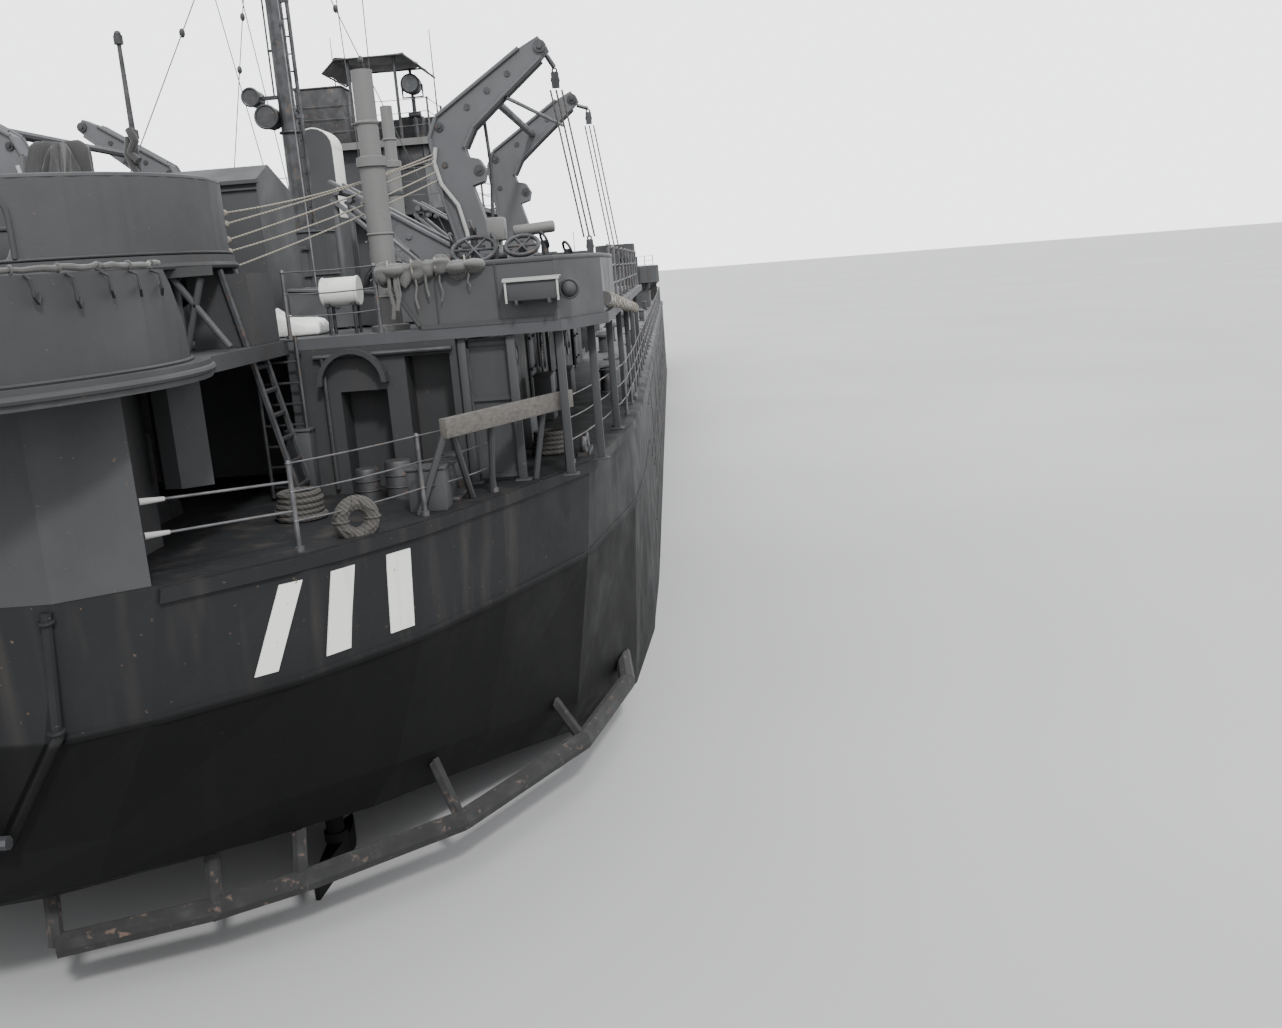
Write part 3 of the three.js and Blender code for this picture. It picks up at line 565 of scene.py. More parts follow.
def rope_finish(name, tone):
    """Laid rope: bands turned about the strand."""
    tree, shader, coords = new_finish(name)
    wave = node(tree, "ShaderNodeTexWave", Scale=70.0, Distortion=2.0)
    wave.bands_direction = "DIAGONAL"
    tree.links.new(coords, wave.inputs["Vector"])
    colour = mixed(tree, wave.outputs["Fac"], tuple(c * 0.55 for c in tone), tone)
    tree.links.new(colour, shader.inputs["Base Color"])
    shader.inputs["Roughness"].default_value = 0.9
    bumped(tree, shader, [(wave.outputs["Fac"], 0.5, 0.001)])


def lamp_glass(name):
    tree, shader, coords = new_finish(name)
    haze = ramp(tree, noise(tree, coords, 50, 3), [(0.3, (0.03, 0.033, 0.036)), (0.7, (0.08, 0.085, 0.09))])
    tree.links.new(haze, shader.inputs["Base Color"])
    shader.inputs["Roughness"].default_value = 0.35
    shader.inputs["Coat Weight"].default_value = 0.2
    bumped(tree, shader, [(noise(tree, coords, 20, 2), 0.1, 0.001)])


def make_finishes(tones):
    ship_paint("hull finish", tones.hull, 0.75, 0.6, dark_low_and_painted_shade=True)
    ship_paint("deck finish", tones.deck, 0.2, 0.9, rough=0.75)
    ship_paint("light finish", [0.4 * c for c in tones.pale], 0.45, 0.6)
    # Lit and shaded copies of the house paint: a lighter copy as painted light for the tubs and bulwark, a
    # darker copy as painted shade for the deckhouse and rim hooks
    ship_paint("tub finish", [1.25 * c for c in tones.house], 0.6, 0.6)
    ship_paint("shade finish", [0.65 * c for c in tones.house], 0.55, 0.6)
    for name, streaks, patches in (("house", 0.55, 0.6), ("davit", 0.35, 0.7), ("pale", 0.3, 0.5),
                                   ("mark", 0.45, 0.4)):
        ship_paint(f"{name} finish", getattr(tones, name), streaks, patches)
    for name, tone, rough, metal in (("gear", tuple(tones.gear), 0.45, 0.6),
                                     ("dark gear", (0.02, 0.02, 0.021), 0.55, 0.3),
                                     ("bronze", (0.33, 0.23, 0.11), 0.35, 0.85),
                                     ("wire", (0.05, 0.05, 0.052), 0.5, 0.4),
                                     # Near-black, used as painted shadow in the stack mouths and on the
                                     # propeller guard
                                     ("void", (0.006, 0.006, 0.006), 0.9, 0.0)):
        bare_steel(f"{name} finish", tone, rough, metal)
    for name, tone in (("canvas", tuple(tones.canvas)), ("pale canvas", (0.05, 0.049, 0.046)),
                       ("dark canvas", (0.016, 0.0155, 0.015)), ("white canvas", (0.5, 0.5, 0.48))):
        weave_cloth(f"{name} finish", tone)
    rope_finish("rope finish", (0.16, 0.145, 0.12))
    rope_finish("tarred rope finish", (0.035, 0.032, 0.028))
    plain_wood("plank finish", (0.06, 0.055, 0.048))
    lamp_glass("glass finish")


NODE_FINISHES = {
    "hull_paint": "hull finish",
    "deck_paint": "deck finish",
    "house_paint": "house finish",
    "gear_steel": "gear finish",
    "screw_bronze": "bronze finish",
    "canvas": "canvas finish",
    "pale_paint": "pale finish",
}
# Solids whose names start so have a finish of their own
NODES_APART = {
    "davit": "davit finish",
    # Painted shadow: the propeller guard is near-black
    "propeller_guard": "void finish",
    # Painted light on the round locker, raised tub and quarter bulwark; painted shade on the deckhouse
    "round_locker": "tub finish",
    "raised_tub": "tub finish",
    "quarter_bulwark": "tub finish",
    "deckhouse": "shade finish",
}


def finish_cad_nodes():
    slots = {row["node"]: row["material_slot"] for row in frame["record"]["subparts"]}
    for name, obj in frame["nodes"].items():
        finish = NODE_FINISHES[slots[name]]
        for start, other in NODES_APART.items():
            if name.startswith(start):
                finish = other
        obj.data.materials.clear()
        obj.data.materials.append(bpy.data.materials[finish])
        for polygon in obj.data.polygons:
            polygon.material_index = 0


# Settings that a user would change
class PaintTones(bpy.types.PropertyGroup):
    hull: bpy.props.FloatVectorProperty(
        name="Hull", description="Paint of the hull's sides", subtype="COLOR",
        default=(0.0078, 0.0082, 0.0088), min=0, max=1)
    deck: bpy.props.FloatVectorProperty(
        name="Decks", description="Worn deck paint", subtype="COLOR",
        default=(0.034, 0.035, 0.037), min=0, max=1)
    house: bpy.props.FloatVectorProperty(
        name="Houses", description="Paint of houses, tubs and bulwarks", subtype="COLOR",
        default=(0.025, 0.0258, 0.027), min=0, max=1)
    davit: bpy.props.FloatVectorProperty(
        name="Davits", description="Paint of the boat davits", subtype="COLOR",
        default=(0.055, 0.0565, 0.059), min=0, max=1)
    pale: bpy.props.FloatVectorProperty(
        name="Pale lockers", description="Paint of the pale lockers and drums", subtype="COLOR",
        default=(0.2, 0.2, 0.193), min=0, max=1)
    mark: bpy.props.FloatVectorProperty(
        name="Bars", description="White bars on the quarters", subtype="COLOR",
        default=(0.42, 0.42, 0.4), min=0, max=1)
    gear: bpy.props.FloatVectorProperty(
        name="Gear", description="Winches, anchors and other deck gear", subtype="COLOR",
        default=(0.03, 0.031, 0.033), min=0, max=1)
    canvas: bpy.props.FloatVectorProperty(
        name="Canvas", description="Weathered canvas covers", subtype="COLOR",
        default=(0.035, 0.034, 0.032), min=0, max=1)


class ShipSettings(bpy.types.PropertyGroup):
    tones: bpy.props.PointerProperty(
        type=PaintTones, name="Paint tones", description="Colours of the finishes")
    rail_height: bpy.props.FloatProperty(
        name="Rail height", description="Height of the deck rails on the full-size ship",
        default=1.05, min=0.6, max=1.5, unit="LENGTH")
    rail_pitch: bpy.props.FloatProperty(
        name="Rail pitch", description="Distance between rail stanchions on the full-size ship",
        default=2.0, min=0.8, max=4, unit="LENGTH")
    waterline: bpy.props.FloatProperty(
        name="Waterline", description="Height of the render's floor on the full-size ship",
        default=WATERLINE, min=0, max=6, unit="LENGTH")
    sun_strength: bpy.props.FloatProperty(
        name="Key light", description="Strength of the soft key light", default=4.6, min=0, max=20)


def settings():
    return bpy.context.scene.landing_ship


# Rails: stanchions with three wires along a path of [x, v]
def deck_rail(path, deck, name, height=None, both=True):
    height = height or settings().rail_height
    parts = []
    bases = []
    for (x0, v0), (x1, v1) in zip(path, path[1:]):
        length = math.hypot(x1 - x0, v1 - v0)
        count = max(1, round(length / settings().rail_pitch))
        for i in range(count):
            t = i / count
            bases.append((x0 + (x1 - x0) * t, v0 + (v1 - v0) * t))
    bases.append(path[-1])
    post = joined([
        upright(0, 0, 0, height, 0.03, 8),
        upright(0, 0, 0, 0.06, 0.055, 8),
        ball((0, 0, height), 0.04, 1, 4),
        *[ball((0, 0, height * share), 0.036, 0.8, 4) for share in RAIL_SHARES[:2]],
    ])
    for x, v in bases:
        parts.append(moved_copy(post, Matrix.Translation(Vector((x, v, deck)) * MODEL)))
    bpy.data.objects.remove(post)
    for share in RAIL_SHARES:
        slack = 0.025 if share < 1 else 0.012
        z = deck + height * share
        for a, b in zip(bases, bases[1:]):
            parts.append(wire(sagging((*a, z), (*b, z), slack, 4), 0.011, 1))
    return made(name, mirrored(parts) if both else parts, WIRE)


def inclined_ladder(foot, head, width, name, steps=7, along=(1, 0), rails=True):
    """Two strings with treads and a pipe rail, from foot to head, treads across 'along'."""
    side = Vector((along[0], along[1], 0)) * width / 2
    parts = []
    for sign in (-1, 1):
        a = Vector(foot) + side * sign
        b = Vector(head) + side * sign
        parts.append(rod(tuple(a), tuple(b), 0.045, 6))
        up = Vector((0, 0, 0.85))
        if rails:
            parts.append(wire([tuple(a + up * 0.3), tuple(a + up), tuple(b + up), tuple(b)], 0.02, 2))
    for i in range(1, steps + 1):
        t = i / (steps + 1)
        centre = Vector(foot).lerp(Vector(head), t)
        parts.append(rod(tuple(centre - side), tuple(centre + side), 0.035, 6))
    return made(name, parts, GEAR)


def upright_ladder(x, v, z0, z1, width=0.42, face=(0, -1), spacing=0.32):
    """Ladder parts standing off a wall."""
    across = Vector((-face[1], face[0], 0)) * width / 2
    off = Vector((face[0], face[1], 0)) * 0.14
    centre = Vector((x, v, 0))
    parts = []
    for sign in (-1, 1):
        base = centre + across * sign + off
        parts.append(rod((base.x, base.y, z0), (base.x, base.y, z1), 0.028, 6))
        for z in (z0 + 0.25, z1 - 0.25):
            wall = base - off
            parts.append(rod((wall.x, wall.y, z), (base.x, base.y, z), 0.022, 6))
    z = z0 + spacing / 2
    while z < z1:
        a = centre - across + off
        b = centre + across + off
        parts.append(rod((a.x, a.y, z), (b.x, b.y, z), 0.018, 6))
        z += spacing
    return parts


def door_parts(x, v, z, width=0.72, height=1.62, face="x"):
    """A weather door with a raised frame, dogs and hinges on a wall that faces +x or -v."""
    t = 0.05
    w = width / 2
    parts = []

    def piece(a0, a1, z0, z1, depth0, depth1):
        if face == "x":
            return slab(x + depth0, x + depth1, v + a0, v + a1, z0, z1)
        return slab(x + a0, x + a1, v - depth1, v - depth0, z0, z1)

    parts.append(rounded(piece(-w, w, z + 0.1, z + 0.1 + height, 0.0, t), 0.02))
    parts.append(piece(-w - 0.07, -w, z + 0.05, z + 0.15 + height, 0.0, 0.03))
    parts.append(piece(w, w + 0.07, z + 0.05, z + 0.15 + height, 0.0, 0.03))
    parts.append(piece(-w, w, z + 0.1 + height, z + 0.16 + height, 0.0, 0.03))
    for i in range(3):
        zz = z + 0.3 + i * height * 0.4
        parts.append(piece(-w - 0.06, -w + 0.12, zz, zz + 0.06, t, t + 0.05))
        parts.append(piece(w - 0.12, w + 0.05, zz + 0.02, zz + 0.07, t, t + 0.07))
    return parts


def ports(name, rows, z, radius):
    """Rims and glass of round ports, from rows of x, v and the way that the wall faces: x or v."""
    rims = []
    glass = []
    for x, v, face in rows:
        turn = ACROSS if face == "x" else ALONG
        out = (0.03, 0) if face == "x" else (0, -0.03)
        rims.append(ring((x + out[0] * 0.4, v + out[1] * 0.4, z), radius, 0.04, turn, 20))
        rims.append(ring((x + out[0], v + out[1], z), radius * 1.28, 0.014, turn, 20))
        glass.append(rod((x - out[0], v - out[1], z), (x + out[0], v + out[1], z), radius * 0.95, 18))
    made(f"{name}_ports", mirrored(rims), HOUSE)
    made(f"{name}_port_glass", mirrored(glass), ("glass finish", "house_paint"))


def bitts(x, v, deck, turn=0, sides=16):
    """A pair of bitts on a base plate."""
    parts = [slab(-0.2, 0.2, -0.55, 0.55, 0, 0.06)]
    for step in (-0.32, 0.32):
        parts.append(upright(0, step, 0, 0.5, 0.13, sides))
        parts.append(upright(0, step, 0.5, 0.06, 0.17, sides))
    return [round_about(one, (turn,), x, v, deck)[0] for one in parts]


def mushroom_vent(x, v, deck):
    return [upright(x, v, deck, 0.55, 0.15, 16),
            upright(x, v, deck, 0.06, 0.2, 16),
            spun([(0.0, deck + 0.78), (0.18, deck + 0.74), (0.27, deck + 0.62), (0.27, deck + 0.55),
                  (0.2, deck + 0.55), (0.0, deck + 0.6)], x, v, 20)]


def spokes(x, v, z, radius, thickness, count):
    """Spokes of a wheel that faces along the ship."""
    parts = []
    for i in range(count):
        a = math.tau * i / count
        parts.append(rod((x, v, z), (x + radius * math.cos(a), v, z + radius * math.sin(a)), thickness, 6))
    return parts


# Operators, one for each piece or group of like pieces
class SHIP_OT_finishes(bpy.types.Operator):
    """Make the finishes and put them on the carried-over parts"""
    bl_idname = "ship.finishes"
    bl_label = "Finishes"

    def execute(self, context):
        make_finishes(settings().tones)
        finish_cad_nodes()
        return {"FINISHED"}


class SHIP_OT_stage(bpy.types.Operator):
    """Set the pale floor, the soft lights and the camera"""
    bl_idname = "ship.stage"
    bl_label = "Stage"

    def execute(self, context):
        tree, shader, coords = new_finish("floor finish")
        tone = ramp(tree, noise(tree, coords, 0.6, 2), [(0.3, 0.2), (0.7, 0.23)])
        tree.links.new(tone, shader.inputs["Base Color"])
        shader.inputs["Roughness"].default_value = 0.7
        deselect()
        bpy.ops.mesh.primitive_plane_add(size=200, location=(0, 0, settings().waterline * MODEL))
        floor = settled(bpy.context.object)
        floor.name = "floor"
        floor.data.materials.append(bpy.data.materials["floor finish"])
        world = context.scene.world or bpy.data.worlds.new("sky")
        context.scene.world = world
        world.use_nodes = True
        sky = world.node_tree.nodes["Background"]
        sky.inputs["Color"].default_value = (0.92, 0.93, 0.95, 1)
        sky.inputs["Strength"].default_value = 3.4
        bpy.ops.object.light_add(type="SUN", location=(4, -4, 6))
        sun = bpy.context.object
        sun.data.energy = settings().sun_strength
        sun.data.angle = math.radians(6)
        sun.rotation_euler = Vector((0.42, -1.0, 1.05)).to_track_quat("Z", "Y").to_euler()
        bpy.ops.object.light_add(type="AREA", location=(-7, -9, 6))
        soft = bpy.context.object
        soft.data.energy = 90
        soft.data.size = 7
        soft.rotation_euler = Vector((-7, -4, 5)).to_track_quat("Z", "Y").to_euler()
        self.camera(context)
        return {"FINISHED"}

    def camera(self, context):
        bpy.ops.object.camera_add()
        camera = bpy.context.object
        pitch, roll, yaw = (math.radians(a) for a in (11.8, 4.5, 2.34))
        forward = Vector((-math.sin(yaw) * math.cos(pitch), math.cos(yaw) * math.cos(pitch),
                          -math.sin(pitch)))
        right = Vector((math.cos(yaw), math.sin(yaw), 0))
        up = right.cross(forward)
        tilted_right = right * math.cos(roll) - up * math.sin(roll)
        tilted_up = up * math.cos(roll) + right * math.sin(roll)
        turn = Matrix((tilted_right, tilted_up, -forward)).transposed().to_4x4()
        camera.matrix_world = Matrix.Translation(at(8.52, -12.24, MAIN_DECK + 3.0)) @ turn
        camera.data.sensor_width = 36
        camera.data.lens = 33.7
        camera.data.clip_start = 0.02
        camera.data.clip_end = 200
        context.scene.camera = camera


class SHIP_OT_hull_trim(bpy.types.Operator):
    """Lay the plate laps and butts, the knuckle bar and the deck-edge bar on the hull"""
    bl_idname = "ship.hull_trim"
    bl_label = "Hull trim"

    def strip(self, z, v0, v1, width, stand, step=0.5):
        """Pairs of points along the starboard skin, each with its normal."""
        rows = []
        count = int((v1 - v0) / step)
        for i in range(count + 1):
            y = STERN + v0 + (v1 - v0) * i / count
            low = hull_side(y, z - width / 2, stand)
            high = hull_side(y, z + width / 2, stand)
            if low and high:
                rows.append((low[0], high[0], low[1]))
        return rows

    def execute(self, context):
        # Laps of the shell plating: height, from, to
        bands = [ribbon(self.strip(z, v0, v1, 0.05, 0.02), 0.05)
                 for z, v0, v1 in ((4.95, 22, 86), (5.55, 20, 90), (3.75, 20, 84), (6.95, 20, 92),
                                   (2.7, 20, 82), (1.7, 20, 80))]
        made("plate_laps", mirrored(bands), SHELL)
        # Height, width, standing out, from, to
        bars = [ribbon(self.strip(z, v0, v1, width, stand), stand + 0.04)
                for z, width, stand, v0, v1 in ((KNUCKLE, 0.1, 0.03, -0.3, 18.4),
                                                (7.56, 0.16, 0.05, 0.12, 96.5))]
        made("rub_bars", mirrored(bars), SHELL)
        # Butts across the plating
        half = 0.022
        butts = []
        for v in (24, 31, 38, 45, 52, 59, 66, 73, 80, 86):
            rows = []
            for i in range(10):
                z = 4.2 + 0.35 * i
                one = hull_side(STERN + v - half, z, 0.01)
                two = hull_side(STERN + v + half, z, 0.01)
                if one and two:
                    rows.append((one[0], two[0], one[1]))
            if len(rows) > 2:
                butts.append(ribbon(rows, 0.04))
        made("plate_butts", mirrored(butts), SHELL)
        return {"FINISHED"}


class SHIP_OT_white_bars(bpy.types.Operator):
    """Paint three plain white bars on each quarter"""
    bl_idname = "ship.white_bars"
    bl_label = "White bars"

    def execute(self, context):
        patches = []
        foot_z, height, steps, columns = 6.33, 1.03, 8, 4
        # After edge at the foot, the lean of the head, and the width, along the ship
        for foot, lean, width in ((0.84, 0.19, 0.18), (1.47, 0.05, 0.28), (2.24, -0.04, 0.3)):
            for column in range(columns):
                rows = []
                for i in range(steps + 1):
                    z = foot_z + height * i / steps
                    start = STERN + foot + lean * i / steps
                    one = hull_side(start + width * column / columns, z, 0.014)
                    two = hull_side(start + width * (column + 1) / columns, z, 0.014)
                    rows.append((one[0], two[0], one[1]))
                patches.append(ribbon(rows, 0.02))
        made("white_bars", mirrored(patches), MARK)
        return {"FINISHED"}


class SHIP_OT_platform(bpy.types.Operator):
    """Dress the round stern platform: rolled canvas, hooks, beads and knees"""
    bl_idname = "ship.platform"
    bl_label = "Stern platform"

    def on_wall(self, degrees, radius, z):
        return (*around(0, PLATFORM_V, radius, degrees), z)

    def execute(self, context):
        rng = random.Random(3)
        wall = PLATFORM_RADIUS - 0.04
        places = []
        for degrees in range(-184, 5, 2):
            radius = wall + rng.uniform(-0.012, 0.012)
            places.append(self.on_wall(degrees, radius, PLATFORM_RIM + 0.05 + rng.uniform(-0.015, 0.02)))
        curve = line_curve([at(*p) for p in places], 0.032, 4)
        for point in curve.data.splines[0].points:
            point.radius = rng.uniform(0.82, 1.18)
        roll = [as_mesh(curve)]
        for degrees in range(-180, 4, 9):
            turn = (math.pi / 2, 0, math.radians(degrees))
            roll.append(ring(self.on_wall(degrees, wall, PLATFORM_RIM + 0.05), 0.04, 0.012, turn, 12))
        made("rim_roll", roll, CANVAS)
        hooks = []
        for degrees in range(-178, 2, 8):
            drop = rng.uniform(0.16, 0.26)
            hooks.append(wire([
                self.on_wall(degrees, 3.02, 10.99), self.on_wall(degrees, 3.11, 10.95),
                self.on_wall(degrees, 3.12, 10.97 - drop), self.on_wall(degrees + 1.1, 3.08, 10.9 - drop),
                self.on_wall(degrees + 2.0, 3.05, 11.0 - drop)], 0.016, 2))
        # The hooks take the darker copy of the house paint, painted shade
        made("rim_hooks", hooks, ("shade finish", "gear_steel"))
        trim = [ring((0, PLATFORM_V, 9.87), 3.25, 0.045, segments=72),
                ring((0, PLATFORM_V, 9.99), 3.04, 0.022, segments=72)]
        made("platform_trim", trim, HOUSE)
        one = knee((2.55, 2.93, -0.02, 0.02, 9.98, 10.6), (2.6, 0, 10.0), (-0.87, 0, 0.5))
        made("platform_knees", round_about(one, range(-175, -1, 21), 0, PLATFORM_V), HOUSE)
        return {"FINISHED"}


class SHIP_OT_raised_tub(bpy.types.Operator):
    """Dress the raised tub: beads, arched frame, knees, ready lockers and the lashed cover"""
    bl_idname = "ship.raised_tub"
    bl_label = "Raised tub"

    def execute(self, context):
        parts = [ring((0, TUB_V, TUB_RIM), TUB_RADIUS - 0.045, 0.047, segments=72),
                 ring((0, TUB_V, 11.07), TUB_RADIUS + 0.06, 0.045, segments=72),
                 ring((0, TUB_V, TUB_FLOOR + 0.03), TUB_RADIUS + 0.02, 0.02, segments=72)]
        # The arched frame round the tub's door
        door, half = 0.62, 0.38
        arch = [(door + half * math.cos(math.pi * i / 12), TUB_RIM - 0.45 + half * math.sin(math.pi * i / 12))
                for i in range(13)]
        path = [(door + half, TUB_FLOOR + 0.05), *arch, (door - half, TUB_FLOOR + 0.05)]
        reach = TUB_RADIUS + 0.02
        parts.append(wire([(x, TUB_V - math.sqrt(reach ** 2 - x * x), z) for x, z in path], 0.035, 2))
        parts.append(upright(0.42, TUB_V - 2.3, TUB_FLOOR, TUB_RIM - 0.2 - TUB_FLOOR, 0.05, 12))
        made("tub_trim", parts, HOUSE)
        one = knee((1.62, 2.5, -0.02, 0.02, 10.45, 11.04), (1.65, 0, 10.47), (0.5, 0, -0.87))
        made("tub_knees", round_about(one, range(0, 360, 20), 0, TUB_V), HOUSE)
        box = joined([slab(1.87, 2.27, -0.45, 0.45, TUB_FLOOR + 0.01, TUB_FLOOR + 0.62),
                      slab(1.84, 2.3, -0.48, 0.48, TUB_FLOOR + 0.62, TUB_FLOOR + 0.68)])
        made("ready_lockers", round_about(box, (35, 75, 120, 160), 0, TUB_V), HOUSE, edge=0.015)
        self.cover()
        return {"FINISHED"}

    def cover(self):
        """The lashed canvas cover: a leaning bundle with deep upright folds."""
        deselect()
        low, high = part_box("covered_mount")
        centre, half = (low + high) / 2, (high - low) / 2
        bpy.ops.mesh.primitive_uv_sphere_add(segments=120, ring_count=48, radius=1)
        cover = bpy.context.object
        shoulder = 0.72
        for corner in cover.data.vertices:
            x, y, z = corner.co
            angle = math.atan2(y, x)
            climb = math.asin(min(1, abs(z))) / (math.pi / 2)
            rise = min(1, climb / shoulder)
            cap = max(0.0, (climb - shoulder) / (1 - shoulder))
            if z < 0:
                rise, cap, radius = 0.0, 0.0, math.hypot(x, y)
            else:
                radius = (1 - 0.5 * rise ** 0.8) * math.sqrt(max(0.0, 1 - cap ** 2))
            pleat = 0.11 * math.sin(5 * angle + 0.8 * rise) + 0.09 * math.sin(9 * angle - 1.2 * rise + 1)
            pleat += 0.045 * math.sin(17 * angle + 2 * rise) + 0.02 * math.sin(31 * angle)
            radius *= 1 - 0.2 + pleat * (0.35 + 0.65 * rise)
            peak = 0.88 + 0.06 * math.sin(3 * angle + 2.1) + 0.12 * math.sin(7 * angle + 0.5)
            height = (0.9 * rise * peak + 0.1 * cap) if z > 0 else 0.0
            lean = 0.35 * half.x * rise
            corner.co = Vector((
                min(high.x, centre.x + lean + half.x * radius * math.cos(angle)),
                centre.y + half.y * (0.7 + 0.3 * (1 - rise)) * radius * math.sin(angle),
                low.z + min(1.0, height) * (high.z - low.z)))
        reshaped(cover, lambda: bpy.ops.mesh.remove_doubles(threshold=1e-5), faced_out)
        piece = made("mount_cover", [cover], DARK_CANVAS, smooth=60)
        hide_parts("covered_mount")


class SHIP_OT_stern_ladders(bpy.types.Operator):
    """Add the braces and ladders beside the raised tub, and the pole with its furled cloth"""
    bl_idname = "ship.stern_ladders"
    bl_label = "Stern ladders"

    def execute(self, context):
        braces = [rod((2.23, 3.0, 10.95), (2.85, 3.0, 10.02), 0.045),
                  rod((2.6, 3.0, 10.9), (2.3, 3.0, 10.02), 0.045),
                  rod((2.2, 3.2, 10.95), (2.2, 3.2, 10.0), 0.04),
                  slab(2.05, 2.75, 2.9, 3.05, 10.93, 11.05)]
        made("tub_braces", mirrored(braces), HOUSE)
        for side, name in ((1, "starboard"), (-1, "port")):
            inclined_ladder((side * 3.25, 4.1, MAIN_DECK + 0.02), (side * 2.55, 4.1, 11.0),
                            0.55, f"tub_ladder_{name}", 9, (0, 1), rails=False)
        parts = upright_ladder(2.8, 4.98, MAIN_DECK + 0.05, UPPER_DECK + 0.05, 0.62, (0, -1), 0.3)
        made("house_ladders", mirrored(parts), GEAR)
        x, v = -0.35, 8.6
        pole = [upright(x, v, 12.72, 2.18, 0.055, 10, 0.035),
                upright(x, v, 12.7, 0.08, 0.13, 12),
                upright(x, v, 14.86, 0.14, 0.075, 10),
                ball((x, v, 15.02), 0.06, 1, 5),
                slab(x - 0.07, x + 0.07, v - 0.07, v + 0.07, 13.35, 13.5)]
        made("shelter_pole", pole, DARK_GEAR)
        furled = [wire([(-0.37, 8.52, 13.5), (-0.28, 8.46, 13.3), (-0.4, 8.5, 13.12),
                        (-0.27, 8.47, 12.98)], 0.07, 4),
                  wire([(-0.42, 8.55, 13.38), (-0.46, 8.5, 13.1), (-0.36, 8.52, 12.8)], 0.055, 4)]
        made("furled_cloth", furled, DARK_CANVAS, smooth=60)
        return {"FINISHED"}


